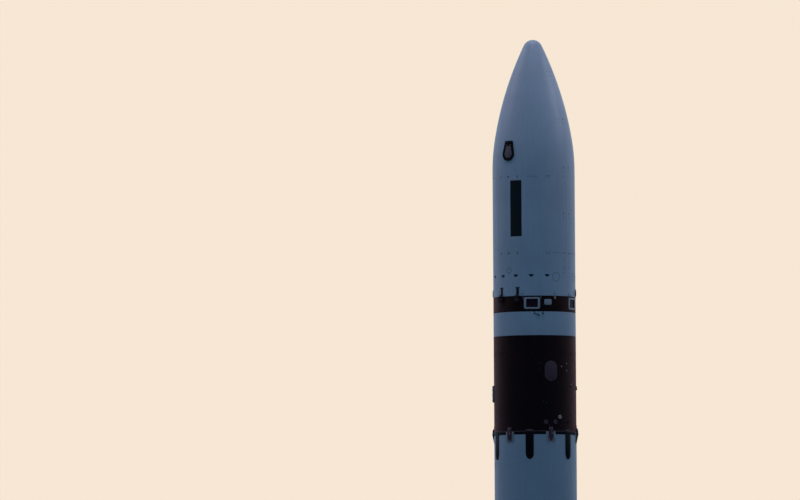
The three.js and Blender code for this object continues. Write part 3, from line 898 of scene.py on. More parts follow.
def along_outline(outline, azimuth, spacing, radius, offset):
    """Fastener marks spaced evenly along a closed outline on the skin."""
    marks, carried = [], 0.0
    for (x0, z0), (x1, z1) in zip(outline, [*outline[1:], outline[0]]):
        length = hypot(x1 - x0, z1 - z0)
        while length and carried < length:
            share = carried / length
            across, height = x0 + (x1 - x0) * share, z0 + (z1 - z0) * share
            side = degrees(asin(across / skin_at(height)[0]))
            marks.append((azimuth + side, height, radius, offset))
            carried += spacing
        carried -= length
    return marks


# User settings


def colour_setting(label, words, default):
    """A colour setting."""
    return FloatVectorProperty(
        name=label, description=words, subtype="COLOR", size=3, min=0.0, max=1.0, default=default
    )


def length_setting(label, words, default):
    """A length setting."""
    return FloatProperty(name=label, description=words, unit="LENGTH", min=0.0, default=default)


class RocketColours(PropertyGroup):
    """Colours of the rocket's finishes."""

    white_paint: colour_setting("White paint", "Fairing paint", (0.74, 0.76, 0.77))
    # White paint darkened as painted shade on the tanks, skirt and raceways
    tank_paint: colour_setting("Tank paint", "Tanks, skirt and raceways", (0.67, 0.69, 0.7))
    frame_paint: colour_setting("Frame paint", "Window frames and blank plates", (0.72, 0.62, 0.56))
    black_composite: colour_setting("Black composite", "Interstage and band", (0.016, 0.0045, 0.0045))
    satin_black: colour_setting("Satin black", "Coated frames and straps", (0.012, 0.004, 0.004))
    rubber: colour_setting("Rubber", "Leads and plugs", (0.008, 0.008, 0.009))
    dark_pane: colour_setting("Dark pane", "Band window insets", (0.046, 0.013, 0.026))
    hatch_grey: colour_setting("Hatch grey", "Interstage access covers", (0.16, 0.062, 0.07))
    flap_grey: colour_setting("Flap grey", "Air inlet flap", (0.25, 0.162, 0.156))
    pad_grey: colour_setting("Pad grey", "Tabs, clips and small covers", (0.2, 0.165, 0.175))
    latch_pad: colour_setting("Latch pad", "Pads under the stage latches", (0.6, 0.5, 0.46))
    latch_grey: colour_setting("Latch grey", "Blocks on the stage latches", (0.186, 0.076, 0.078))
    # Bronze of the flanges and knuckles, and on the joint's lip a painted edge highlight
    lip_bronze: colour_setting("Lip bronze", "Lip and flanges over the stage joint", (0.24, 0.115, 0.095))
    cap_alloy: colour_setting("Cap alloy", "Bright studs and discs on the interstage", (0.8, 0.46, 0.36))
    # Dark teal for the vents: painted shade inside the vent openings
    vent_teal: colour_setting("Vent tone", "Vent insets in the fairing", (0.045, 0.075, 0.08))
    dark_metal: colour_setting("Dark metal", "Latches and hinges", (0.07, 0.042, 0.044))
    steel: colour_setting("Steel", "Bolt heads", (0.16, 0.16, 0.17))
    bright_metal: colour_setting("Bright metal", "Bare bolts and lips", (0.62, 0.62, 0.64))
    bare_aluminium: colour_setting("Bare aluminium", "Rings and plates", (0.5, 0.5, 0.52))
    engine_metal: colour_setting("Engine metal", "Nozzle alloy", (0.42, 0.36, 0.31))
    heat_blanket: colour_setting("Heat blanket", "Quilted shield round the engines", (0.3, 0.28, 0.25))
    acoustic_liner: colour_setting("Liner", "Padding inside the fairing", (0.55, 0.54, 0.5))


class RocketSizes(PropertyGroup):
    """Sizes of the rocket's fittings."""

    round_sides: IntProperty(name="Round sides", description="Sides of the body's skins", default=144, min=24)
    shell_wall: length_setting("Fairing wall", "Thickness of the fairing shells", 0.024)
    screw: length_setting("Screw", "Radius of a skin screw's washer", 0.0075)
    weld_pitch: length_setting("Weld pitch", "Distance between tank welds", 0.885)
    roll_mark: BoolProperty(name="Roll mark", description="Plain black bar on half A", default=True)


class StageSettings(PropertyGroup):
    """Camera, backdrop and light."""

    distance: length_setting("Camera distance", "From the centre line", 160.0)
    azimuth: FloatProperty(name="Camera azimuth", description="Round the rocket, degrees", default=38.0)
    eye: FloatProperty(name="Eye height", description="Height of the camera", unit="LENGTH", default=-0.2)
    lens: FloatProperty(name="Lens", description="Focal length in millimetres", default=449.0)
    aim_height: length_setting("Aim height", "Height in the middle of the picture", 9.43)
    aim_side: length_setting("Aim side", "How far the aim lies left of the rocket", 2.154)
    roll: FloatProperty(name="Roll", description="Camera roll, degrees", default=0.36)
    backdrop: colour_setting("Backdrop", "Plain backdrop", (0.93, 0.8, 0.66))
    fill: colour_setting("Fill", "Soft light from all round", (0.036, 0.107, 0.207))
    behind: colour_setting("Light behind", "More light from behind the rocket", (0.298, 0.316, 0.372))
    left: colour_setting("Left lamp", "Wide lamp high on the left", (0.184, 0.145, 0.186))
    top: colour_setting("Top lamp", "Wide lamp over the nose", (0.43, 0.45, 0.618))
    right: colour_setting("Right lamp", "Smaller lamp beside the nose", (0.0348, 0.0336, 0.0434))
    lamp_power: FloatProperty(
        name="Lamp power", description="Power of each wide lamp", unit="POWER", min=0.0, default=600.0
    )


# Operators


class RocketOperator:
    """What the operators share."""

    bl_options = {"REGISTER", "UNDO"}

    @property
    def sizes(self):
        """The sizes that the user has set."""
        return bpy.context.scene.rocket_sizes


class ROCKET_OT_stage(RocketOperator, Operator):
    """Make the camera, the backdrop, the floor and the lights"""

    bl_idname = "rocket.stage"
    bl_label = "Stage"

    def execute(self, context):
        stage = context.scene.rocket_stage
        context.scene.view_settings.view_transform = "Standard"
        turn = radians(stage.azimuth)
        toward = Vector((sin(turn), -cos(turn), 0))
        right = Vector((cos(turn), sin(turn), 0))

        lens = bpy.data.cameras.new("camera")
        lens.lens, lens.sensor_width, lens.clip_end = stage.lens, 36.0, 2000.0
        camera = new_object("camera", lens)
        camera.location = toward * stage.distance + Vector((0, 0, stage.eye))
        aim = Vector((0, 0, stage.aim_height)) - right * stage.aim_side
        facing = (aim - camera.location).to_track_quat("-Z", "Y")
        camera.rotation_mode = "QUATERNION"
        camera.rotation_quaternion = facing @ Quaternion((0, 0, 1), -radians(stage.roll))
        context.scene.camera = camera

        self.add_world(context.scene, stage, -toward)
        middle = Vector((0, 0, 9.0))
        lamps = [
            ("left_lamp", stage.left, 8.0, -right * 10.0 - toward * 2.0 + Vector((0, 0, 19.0))),
            ("top_lamp", stage.top, 8.0, toward * 3.0 + Vector((0, 0, 24.0))),
            ("right_lamp", stage.right, 3.0, right * 4.5 + Vector((0, 0, 13.8))),
        ]
        for name, colour, size, place in lamps:
            lamp = bpy.data.lights.new(name, "AREA")
            lamp.color, lamp.energy, lamp.size = colour, stage.lamp_power, size
            made = new_object(name, lamp)
            made.location = place
            made.rotation_mode = "QUATERNION"
            made.rotation_quaternion = (place - middle).to_track_quat("Z", "Y")
            made.visible_camera = False
        low, high, reach = -0.36, -0.31, 400
        disc_of_floor = Shape().turned([(0, low), (reach, low), (reach, high), (0, high)], 96)
        ground = new_object("floor", disc_of_floor.data("floor"))
        ground.data.materials.append(self.floor_finish(stage))
        return {"FINISHED"}

    @staticmethod
    def add_world(scene, stage, away):
        """A plain backdrop for the camera, and soft light that rises behind the rocket."""
        world = bpy.data.worlds.new("studio")
        world.use_nodes = True
        world.node_tree.nodes.clear()
        g = Graph(world.node_tree)
        sky = g.node("ShaderNodeTexCoord").out("Generated")
        light = g.node("ShaderNodeBackground", {"Color": (*stage.fill, 1.0)})
        near = g.node("ShaderNodeVectorMath", {0: sky, 1: away}, "Value", operation="DOT_PRODUCT")
        more = {"Color": (*stage.behind, 1.0), "Strength": near.spread(0.0, 0.7)}
        light = g.node("ShaderNodeAddShader", {0: light, 1: g.node("ShaderNodeBackground", more)})
        seen = g.node("ShaderNodeLightPath").out("Is Camera Ray")
        back = g.node("ShaderNodeBackground", {"Color": (*stage.backdrop, 1.0)})
        both = g.node("ShaderNodeMixShader", {0: seen, 1: light, 2: back})
        g.node("ShaderNodeOutputWorld", {"Surface": both})
        scene.world = world

    @staticmethod
    def floor_finish(stage):
        """A plain pale floor that takes a soft shadow."""
        f = Finish("floor")
        seen = f.node("ShaderNodeLightPath").out("Is Camera Ray")
        matt = f.node("ShaderNodeBsdfDiffuse", {"Color": (0.3, 0.3, 0.3, 1.0)})
        glow = f.node("ShaderNodeEmission", {"Color": (*stage.backdrop, 1.0), "Strength": 0.72})
        lit = f.node("ShaderNodeAddShader", {0: matt, 1: glow})
        both = f.node("ShaderNodeMixShader", {0: seen, 1: matt, 2: lit})
        f.node("ShaderNodeOutputMaterial", {"Surface": both})
        return f.material


class ROCKET_OT_body(RocketOperator, Operator):
    """Turn the stacked body sections: tanks, rings, interstage and collar"""

    bl_idname = "rocket.body"
    bl_label = "Body sections"

    def execute(self, context):
        paint = {
            "fuel_tank": "tank_paint",
            "intertank_ring": "bare_aluminium",
            "oxidizer_tank": "tank_paint",
            "interstage": "black_composite",
            "interstage_collar": "black_composite",
            "upper_ring": "fairing_paint",
        }
        top_weld, margin = 5.98, 0.1
        for node, look in paint.items():
            base, top = span(node)
            beads = []
            if look == "tank_paint":
                pitch = self.sizes.weld_pitch
                levels = [top_weld - pitch * k for k in range(ceil((top_weld - base) / pitch))]
                beads = sorted(z for z in levels if base + margin < z < top - margin)
            outline, sides = barrel(base, top, beads), self.sizes.round_sides
            section(node + "_skin", outline, look, nodes=[node], sides=sides, sharp=40)

        screw = self.sizes.screw
        small, smaller = screw * 0.8, screw * 0.7
        skirt_top, tank_top = span("fuel_tank")
        ring_top = span("intertank_ring")[1]
        seams = (skirt_top + 0.022, tank_top - 0.02, ring_top + 0.02)
        fasten("tank_seam_screws", [mark for z in seams for mark in row(48, z, small)], "steel")
        fasten("intertank_bolts", row(72, (tank_top + ring_top) / 2, screw), "steel", head="hex")
        low, high = span("interstage")
        collar_top = span("interstage_collar")[1]
        marks = [
            *row(72, high - 0.02, small, 2.5), *row(72, high + 0.02, small, 2.5),
            *row(72, collar_top - 0.018, small, 2.5), *row(48, low + 0.05, small, 3.0),
        ]
        fasten("interstage_screws", marks, "satin_black")
        low, high = span("upper_ring")
        marks = [*row(60, low + 0.018, smaller, 3.0), *row(60, high - 0.018, smaller, 3.0)]
        fasten("upper_ring_screws", marks, "fairing_paint")
        return {"FINISHED"}


class ROCKET_OT_aft(RocketOperator, Operator):
    """Make the aft ring and its feet, the engine skirt, its doors and the heat shield"""

    bl_idname = "rocket.aft"
    bl_label = "Aft end"

    def execute(self, context):
        base, top = 0.012, span("engine_skirt")[0] - SEAM
        feet, inner, step = (45, 135, 225, 315), 0.604, 0.575
        ring = [
            (inner, base), (BODY + 0.001, base), (BODY + 0.004, base + 0.003), (BODY + 0.004, top - 0.003),
            (BODY + 0.001, top), (inner, top), (inner, 0.042), (step, 0.042), (step, 0.0304), (inner, 0.0304),
        ]
        section("aft_ring_skin", ring, "bare_aluminium", nodes=["aft_ring"], sides=self.sizes.round_sides)
        foot = [
            (0.645, 0.0), (0.725, 0.0), (0.725, 0.012), (0.72, 0.03), (BODY + 0.012, 0.112),
            (BODY + 0.008, 0.12), (BODY + 0.0006, 0.12), (BODY + 0.0006, top + 0.001), (0.645, top - 0.002),
        ]
        copies("hold_down_feet", Shape().slab(foot, 0, 0.06), feet, "bare_aluminium", bevel=0.003)
        shape = Shape()
        for side in (-0.036, 0.036):
            shape.slab([(BODY, 0.03), (0.712, 0.03), (0.668, 0.105), (BODY, 0.105)], 0, 0.006, side)
        shape.rod((0, -0.695, 0.012), (0, -0.695, 0.062), 0.013, 12)
        copies("foot_webs_and_studs", shape, feet, "dark_metal", bevel=0.0015)

        low, high = span("engine_skirt")
        skirt, sides = hoop(BODY - 0.016, BODY, low, high), self.sizes.round_sides
        section("engine_skirt_skin", skirt, "tank_paint", nodes=["engine_skirt"], sides=sides, sharp=40)
        screw = self.sizes.screw
        marks = [*row(60, low + 0.018, screw * 0.8), *row(60, high - 0.02, screw * 0.8)]
        doors, rims = Shape(), []
        for azimuth in (0, 90, 180, 270):
            doors.panel(rounded(0.12, 0.34, 0.62, 0.03), azimuth, SEAM, 0.003)
            rims += along_outline(rounded(0.108, 0.352, 0.608, 0.022), azimuth, 0.0515, screw * 0.7, 0.003)
        place("skirt_doors", doors, "tank_paint", bevel=0.001)
        fasten("skirt_screws", [*marks, *rims], "steel")
        vents = Shape()
        for azimuth in range(22, 360, 45):
            for height in (0.2, 0.226, 0.252):
                vents.panel(rounded(0.045, height - 0.006, height + 0.006, 0.005, 3), azimuth, SEAM, 0.004)
        place("skirt_louvres", vents, "tank_paint", bevel=0.0012)
        self.add_shield()
        return {"FINISHED"}

    def add_shield(self):
        """A quilted blanket with a retaining ring round each nozzle."""
        low, high = span("heat_shield")
        outer, hole, spacing, pitch = 0.602, 0.1305, 0.0125, 0.1
        holes = [disc(c.x, c.y, hole, 48) for c in ENGINE_CENTRES]
        flat = flat_sheet(disc(0, 0, outer, 144), holes, spacing, spacing)
        shape = Shape()
        under, over = [], []
        for vert in flat.verts:
            x, y = vert.co.x, vert.co.z
            quilt = abs(sin(pi * (x + y) / pitch) * sin(pi * (x - y) / pitch)) ** 0.5
            under.append(shape.mesh.verts.new((x, y, high)))
            over.append(shape.mesh.verts.new((x, y, low + 0.006 - 0.0055 * quilt)))
        shape.close_sheet(flat, under, over)
        place("heat_shield_quilt", shape, "heat_blanket", nodes=["heat_shield"], sharp=60)
        rings, points = Shape(), []
        centre_line, low, high = Vector((0, 0, 0)), 0.0085, 0.0145
        circles = [(centre_line, 0.572, 0.6, 0.586, 48, 0.0)]
        for centre in ENGINE_CENTRES:
            circles.append((Vector((centre.x, centre.y, 0)), 0.1308, 0.151, 0.141, 12, 15.0))
        for middle, inner, outer, reach, count, start in circles:
            outline = [(inner, low), (outer, low), (outer, high), (inner, high)]
            rings.turned(outline, 144 if count == 48 else 48, middle)
            points += [middle + spot(reach, 360 * k / count + start, low) for k in range(count)]
        place("heat_shield_rings", rings, "bare_aluminium", bevel=0.001)
        fasten_points("heat_shield_bolts", points, Vector((0, 0, -1)), 0.005, "steel")


class ROCKET_OT_engines(RocketOperator, Operator):
    """Make five engines on gimbal crosses under the thrust frame"""

    bl_idname = "rocket.engines"
    bl_label = "Engines"

    def execute(self, context):
        for k, centre in enumerate(ENGINE_CENTRES, 1):
            body = f"motor_{k}"
            self.bell(k, centre, body)
            self.head(k, centre, body)
        bare = {"thrust_frame": "bare_aluminium", **{f"gimbal_cross_{k}": "dark_metal" for k in range(1, 6)}}
        for node, look in bare.items():
            materials = frame["nodes"][node].data.materials
            materials.clear()
            materials.append(finish(look))
        return {"FINISHED"}

    def bell(self, k, centre, body):
        """The bell with its cooling flutes, hat bands and rim."""
        throat, exit_radius, throat_level, exit_level, wall, rows = 0.048, 0.144, -0.335, -0.68, 0.006, 16

        def inside(share):
            opening = 0.8 * (1 - (1 - share) ** 2) + 0.2 * share
            level = throat_level + (exit_level - throat_level) * share
            return throat + (exit_radius - throat) * opening, level

        inner = [inside(1 - n / rows) for n in range(rows + 1)]
        outer = [(r + wall - 0.0012, z) for r, z in inner]
        collar = throat_level + 0.035
        outline = [*outer, (0.06, throat_level + 0.02), (0.06, collar), (0.03, collar)]
        outline += [(throat, throat_level + 0.01), *inner[:0:-1]]
        section(
            f"engine_bell_{k}", outline, "engine_metal", body, [f"engine_{k}"], 144, centre,
            flutes=(range(1, rows), 36.0, 0.0011), sharp=50,
        )
        bands = Shape()
        r, z = inside(1.0)
        lip = [(r - 0.001, z), (r + 0.006, z), (r + 0.006, z + 0.008), (r - 0.001, z + 0.012)]
        bands.turned(lip, 72, centre)
        for share in (0.3, 0.52, 0.76):
            r, z = inside(share)
            before, after = inside(share - 0.02), inside(share + 0.02)
            slope = (after[0] - before[0]) / (before[1] - after[1])
            drop, foot, crown = 0.007, r + wall - 0.002, r + wall + 0.0045
            lean = slope * drop
            upper = [(foot - lean, z + drop), (crown - lean, z + drop)]
            lower = [(crown + lean, z - drop), (foot + lean, z - drop)]
            bands.turned(upper + lower, 72, centre)
        place(f"engine_bands_{k}", bands, "engine_metal", body, bevel=0.0012)

    def head(self, k, centre, body):
        """Dish, chamber, injector dome, pumps, feed pipes and hanger ears."""
        radius, thickness, waist, edge, steps = 0.35, 0.004, 0.06, 0.15, 10
        across = [waist + (edge - waist) * n / steps for n in range(steps + 1)]
        low, high = (
            [(r, -sqrt(ball**2 - r * r)) for r in across] for ball in (radius, radius - thickness)
        )
        shape = Shape().turned([*low, *high[::-1]], 64, centre)
        place(f"engine_dish_{k}", shape, "heat_blanket", body, sharp=40)
        chamber = [
            (0.03, -0.31), (0.062, -0.33), (0.066, -0.315), (0.078, -0.285), (0.082, -0.27),
            (0.082, -0.145), (0.096, -0.142), (0.096, -0.124), (0.09, -0.12), (0.084, -0.105),
            (0.066, -0.082), (0.058, -0.072), (0.058, -0.062), (0.0, -0.06), (0.0, -0.3),
        ]
        section(f"engine_chamber_{k}", chamber, "engine_metal", body, (), 48, centre, sharp=30)
        ears = Shape()
        profile = [(-0.024, -0.062), (0.024, -0.062), *arc((0, 0), 0.024, 0, 180, 10)]
        for turn in (0, 180):
            ears.loft([[centre + about(turn, (x, y, z)) for x, z in profile] for y in (-0.05, -0.036)])
        piece = new_object(f"engine_ears_{k}", ears.data("ears"))
        carve(piece, Shape().rod(centre + Vector((0, -0.06, 0)), centre + Vector((0, 0.06, 0)), 0.0108, 24))
        settle(piece, "dark_metal", body, bevel=0.001)
        pumps, lines = Shape(), []
        lower = [(0.116, -0.252), (0.116, -0.275), (0.108, -0.29), (0.094, -0.292), (0.08, -0.28)]
        upper = [(0.116, -0.11), (0.114, -0.092), (0.1, -0.084), (0.082, -0.09), (0.07, -0.098)]
        for turn in (90, 270):
            foot = centre + about(turn, (0, -0.116, 0))
            for r, low, high in ((0.03, -0.255, -0.15), (0.034, -0.222, -0.198), (0.022, -0.15, -0.105)):
                pumps.rod(foot + Vector((0, 0, low)), foot + Vector((0, 0, high)), r, 24)
            lines += [[centre + about(turn, (0, -r, z)) for r, z in knots] for knots in (lower, upper)]
        place(f"engine_pumps_{k}", pumps, "bare_aluminium", body, bevel=0.0015)
        pipes(f"engine_pipes_{k}", lines, 0.009, "bright_metal", body, 12)
        points = [centre + spot(0.09, 30 * n, -0.124) for n in range(12)]
        fasten_points(f"engine_bolts_{k}", points, Vector((0, 0, 1)), 0.0055, "steel", body)


class ROCKET_OT_raceways(RocketOperator, Operator):
    """Make the two covered tunnels up the back of the first stage"""

    bl_idname = "rocket.raceways"
    bl_label = "Raceways"

    def execute(self, context):
        flank = [(0.036, 0.045), (0.043, 0.042), (0.047, 0.036), (0.056, 0.01), (0.06, 0.007), (0.06, 0.0)]
        profile = [(-u, h) for u, h in flank[::-1]] + flank
        under = [(0.06 - 0.02 * k, -0.0001) for k in range(1, 6)]
        base, top = span("raceway_1")
        taper = 0.12
        rises = (0, 0.02, taper * 0.6, taper, taper + 0.03)
        rings = []
        for z in [base + rise for rise in rises] + [top - rise for rise in rises[::-1]]:
            lift = max(0.1, sin(min(1.0, (z - base) / taper, (top - z) / taper) * pi / 2))
            stands = [(u, 0.0028 + (h * lift if h > 0 else 0), h <= 0.007) for u, h in profile + under]
            rings.append([about(0, (u, -(self.depth(u, low) + stand), z)) for u, stand, low in stands])
        turns, nodes = [165, 195], ["raceway_1", "raceway_2"]
        copies("raceway_covers", Shape().loft(rings), turns, "tank_paint", nodes=nodes, sharp=25)

        foot, wing, rise = 0.0615, 0.078, 0.004
        ring = [(-wing, 0.0), (-wing, rise), (-foot, rise), *((u, h + 0.0016) for u, h in profile[1:-1])]
        ring += [(foot, rise), (wing, rise), (wing, 0.0), *((wing - 0.026 * k, 0.0) for k in range(1, 6))]
        points = [(u, -(self.depth(u, h <= 0.009) + 0.0012 + h)) for u, h in ring]
        bands, heights = Shape(), [base + 0.2 + 0.55 * k for k in range(11)]
        for z in heights:
            bands.prism(points, (z - 0.014, z + 0.014))
        copies("raceway_clamps", bands, turns, "bare_aluminium", bevel=0.0008)
        sides = [s * degrees(0.07 / BODY) for s in (-1, 1)]
        marks = [(turn + side, z, 0.006, 0.005) for turn in turns for z in heights for side in sides]
        fasten("raceway_bolts", marks, "steel", head="hex")
        return {"FINISHED"}

    @staticmethod
    def depth(across, low):
        """How far from the centre line a point starts: low ones follow the round body."""
        return sqrt(BODY**2 - across * across) if low else BODY


class ROCKET_OT_umbilicals(RocketOperator, Operator):
    """Make the two umbilical plates with their sockets"""

    bl_idname = "rocket.umbilicals"
    bl_label = "Umbilical plates"

    def execute(self, context):
        azimuth, half_width, proud = -53.0, 0.11, 0.022
        columns, face = [half_width * (1 - k / 5) for k in range(11)], -(BODY + proud)
        ring = [(-half_width, face), (half_width, face)]
        ring += [(u, -(sqrt(BODY**2 - u * u) + SEAM)) for u in columns]
        # Sockets: across, up, radius
        layout = [
            (-0.06, 0.07, 0.022), (0.0, 0.07, 0.022), (0.06, 0.07, 0.022),
            (-0.045, -0.02, 0.032), (0.045, -0.02, 0.032), (0.0, -0.09, 0.018),
        ]
        corners = [(u, h) for u in (-0.096, 0.096) for h in (-0.114, 0.0, 0.114)]
        for name in ("aft", "forward"):
            node = f"umbilical_plate_{name}"
            base, top = span(node)
            middle = (base + top) / 2
            plate = Shape().prism(ring, (base, top), azimuth)
            place(node + "_boss", plate, "bare_aluminium", nodes=[node], bevel=0.003)
            sockets, wells, points = Shape(), Shape(), []
            for u, h, r in layout:
                foot, rim, mouth = (
                    about(azimuth, (u, face + offset, middle + h)) for offset in (0.001, -0.004, -0.0008)
                )
                sockets.sleeve(foot, rim, r, r - 0.005, 28)
                wells.rod(foot, mouth, r - 0.0045, 28)
                points += [about(azimuth, (u + (r + 0.006) * s, face, middle + h)) for s in (-1, 1)]
            place(node + "_sockets", sockets, "bright_metal", bevel=0.0008)
            place(node + "_wells", wells, "rubber")
            sizes = [0.004] * len(points) + [0.007] * len(corners)
            points += [about(azimuth, (u, face, middle + h)) for u, h in corners]
            fasten_points(node + "_bolts", points, about(azimuth, (0, -1, 0)), sizes, "steel")
        return {"FINISHED"}


class ROCKET_OT_stage_joint(RocketOperator, Operator):
    """Make the stage joint: a ring with six tongues and six latches on pads"""

    bl_idname = "rocket.stage_joint"
    bl_label = "Stage joint"

    def execute(self, context):
        base, top = span("interstage")[0] - 0.046, span("interstage")[0] - SEAM
        outer, inner = BODY + 0.002, 0.56
        ring = Shape().turned([(inner, base + SEAM), (outer, base + SEAM), (outer, top), (inner, top)], 144)
        half, tip, shoulder = 0.065, 0.096, base - 0.3
        angles = [pi * (1 + k / 18) for k in range(19)]
        round_end = [(half * cos(a), shoulder + tip * sin(a)) for a in angles]
        tongue = [(half, top), (-half, top), *round_end]
        for turn in SIXTHS:
            ring.panel(tongue, turn + 30, SEAM, 0.007, step=0.015)
        place("joint_ring_and_tongues", ring, "satin_black", nodes=["joint_tongue_ring"], bevel=0.0015)
        # The light bronze lip round the joint's top edge is a painted highlight of that edge
        lip = hoop(BODY - 0.01, BODY + 0.0025, top + SEAM, top + 0.009, 0.0008)
        section("joint_lip", lip, "lip_bronze", sides=self.sizes.round_sides)
        reach, foot, flatten = 0.07, top + 0.006, 0.42
        crown = [(reach, foot), *arc((0, foot), reach, 0, 180, 14)[1:-1], (-reach, foot)]
        crown = [(x, foot + flatten * (z - foot)) for x, z in crown]
        flanges = Shape().panel(crown, 30, 0.001, 0.0065, step=0.015)
        copies("tongue_flanges", flanges, SIXTHS, "lip_bronze", bevel=0.001)
        marks = []
        for turn in SIXTHS:
            for z in (top - 0.02, base - 0.09, base - 0.2, base - 0.31):
                marks += [(turn + 30 + s * 3.8, z, 0.005, 0.007) for s in (-1, 1)]
            marks += [(turn + 30 + s * 2.9, top + 0.017, 0.0055, 0.0065) for s in (-1, 1)]
        marks += row(72, (base + top) / 2, 0.0055, 2.5, 0.002)
        fasten("tongue_screws", marks, "dark_metal")
        self.add_latches(base, top)
        return {"FINISHED"}

    def add_latches(self, base, top):
        """Six levers drawn down over the joint, each on a grey pad."""
        outline = rounded(0.08, base - 0.13, top, (0.03, 0.008, 0.008, 0.03))
        pad = Shape().panel(outline, 0, 0.0024, 0.005)
        pad.panel(rounded(0.0795, base - 0.1295, base - 0.002, (0.03, 0, 0, 0.03)), 0, SEAM, 0.0045)
        copies("latch_pads", pad, SIXTHS, "latch_pad", bevel=0.001)
        seat = BODY + 0.0028
        # Rows from the top down: rise, half width, depth
        upper = [
            (0.068, 0.033, 0.0125), (0.064, 0.0365, 0.0155), (0.03, 0.0365, 0.0275), (0.004, 0.0365, 0.029),
        ]
        lower = [
            (0.056, 0.03, 0.03), (0.006, 0.031, 0.029), (-0.04, 0.027, 0.021), (-0.085, 0.019, 0.011),
            (-0.108, 0.013, 0.005),
        ]

        narrowing = 0.88

        def wedge(rows, level):
            rings = []
            for z, half, depth in rows[::-1]:
                corners = [(-half, 0), (half, 0), (half * narrowing, depth), (-half * narrowing, depth)]
                rings.append([(x, -seat - y, level + z) for x, y in corners])
            return Shape().loft(rings)

        nodes = [f"joint_latch_{k}" for k in range(1, 7)]
        copies("latch_levers", wedge(lower, base), SIXTHS, "latch_grey", nodes=nodes, bevel=0.002)
        block = wedge(upper, top)
        cheeks = [
            (seat, top + 0.004), (seat + 0.022, top + 0.004), (seat + 0.022, base + 0.012),
            (seat + 0.013, base - 0.055), (seat + 0.003, base - 0.112), (seat, base - 0.112),
        ]
        for side in (-1, 1):
            block.slab(cheeks, 0, 0.003, side * 0.0355)
        block.rod((-0.03, -seat - 0.008, top + 0.06), (-0.03, -seat - 0.008, top + 0.106), 0.0045, 10)
        block.box((-0.036, -seat - 0.013, top + 0.1), (-0.024, -BODY - SEAM, top + 0.11))
        copies("latch_blocks", block, SIXTHS, "latch_grey", bevel=0.0012)
        foot, end = ((0.018, -seat - depth, base + 0.014) for depth in (0.024, 0.0345))
        copies("latch_bolts", Shape().rod(foot, end, 0.011, 12, 0.01), SIXTHS, "cap_alloy", bevel=0.0008)


class ROCKET_OT_interstage(RocketOperator, Operator):
    """Fit the interstage: access covers, blanking discs, studs, a bump and short leads"""

    bl_idname = "rocket.interstage"
    bl_label = "Interstage fittings"

    def execute(self, context):
        base, top = span("access_cover_1")
        half = 0.107

        def stadium(inset):
            return rounded(half - inset, base + inset, top - inset, half - inset - 0.001, 14)

        covers, rims, marks = Shape(), Shape(), []
        for azimuth in (61, 241):
            covers.panel(stadium(0), azimuth, SEAM, 0.0035, step=0.015)
            covers.panel(stadium(0.017), azimuth, 0.003, 0.0055, step=0.015)
            rims.panel(stadium(0.001), azimuth, 0.0034, 0.0046, holes=[stadium(0.006)], step=0.015)
            marks += along_outline(stadium(0.0105), azimuth, 0.0375, 0.004, 0.0035)
        nodes = ["access_cover_1", "access_cover_2"]
        place("access_covers", covers, "hatch_grey", nodes=nodes, bevel=0.001)
        place("access_cover_rims", rims, "latch_grey")
        fasten("access_cover_screws", marks, "cap_alloy")

        # Studs and discs, the same on both sides: finish, then azimuth, height, radius
        studs = [(78, 7.515), (88, 7.565), (88, 7.45), (99, 7.23)]
        small_studs = [(44, 7.57), (44, 7.455), (53.9, 6.93), (49.1, 6.953)]
        plugs = {
            "interstage_studs": ("cap_alloy", [(a, z, 0.012) for a, z in studs]),
            "interstage_small_studs": ("latch_grey", [(a, z, 0.009) for a, z in small_studs]),
            "blanking_discs_grey": ("hatch_grey", [(53, 6.626, 0.04), (67, 6.626, 0.04)]),
            "blanking_discs_black": ("satin_black", [(90, 6.626, 0.021), (99, 7.2, 0.014)]),
            "blanking_discs_bright": ("cap_alloy", [(74.5, 6.707, 0.036)]),
        }
        for name, (look, spots) in plugs.items():
            marks = [(turn + a, z, radius, 0.0) for turn in (0, 180) for a, z, radius in spots]
            fasten(name, marks, look, head="plug")
        pods = Shape()
        bumps = [
            (SEAM, 7.152), (0.012, 7.157), (0.02, 7.169), (0.012, 7.181), (0.005, 7.188), (0.012, 7.197),
            (0.013, 7.212), (SEAM, 7.222),
        ]
        for turn in (0, 180):
            pods.slab([(BODY + lift, z) for lift, z in bumps], turn + 123, 0.022)
        place("interstage_pods", pods, "satin_black", bevel=0.003)
        self.add_leads()
        return {"FINISHED"}

    def add_leads(self):
        """Two short leads clipped to the white ring, with their plugs."""
        lift = 0.007
        lines = [
            [(37.4, 8.391), (37.5, 8.368), (38.2, 8.354), (40.4, 8.35), (42.4, 8.348), (43.2, 8.342)],
            [(49.9, 8.39), (50.0, 8.376), (49.5, 8.366), (48.7, 8.361)],
        ]
        for name, turn in (("a", 0), ("b", 180)):
            paths = [[on_skin(0, z, lift, a + turn) for a, z in line] for line in lines]
            pipes(f"ring_leads_{name}", paths, 0.0055, "rubber", sides=8)
            plugs = Shape()
            for line, length in zip(lines, (0.03, 0.02)):
                azimuth, height = line[-1]
                start = on_skin(0, height, lift, azimuth + turn)
                end = on_skin(0, height - length * 0.62, lift, azimuth + turn + 1.6)
                plugs.rod(start, end, 0.0085, 12, 0.01)
            place(f"ring_lead_plugs_{name}", plugs, "rubber", bevel=0.001)


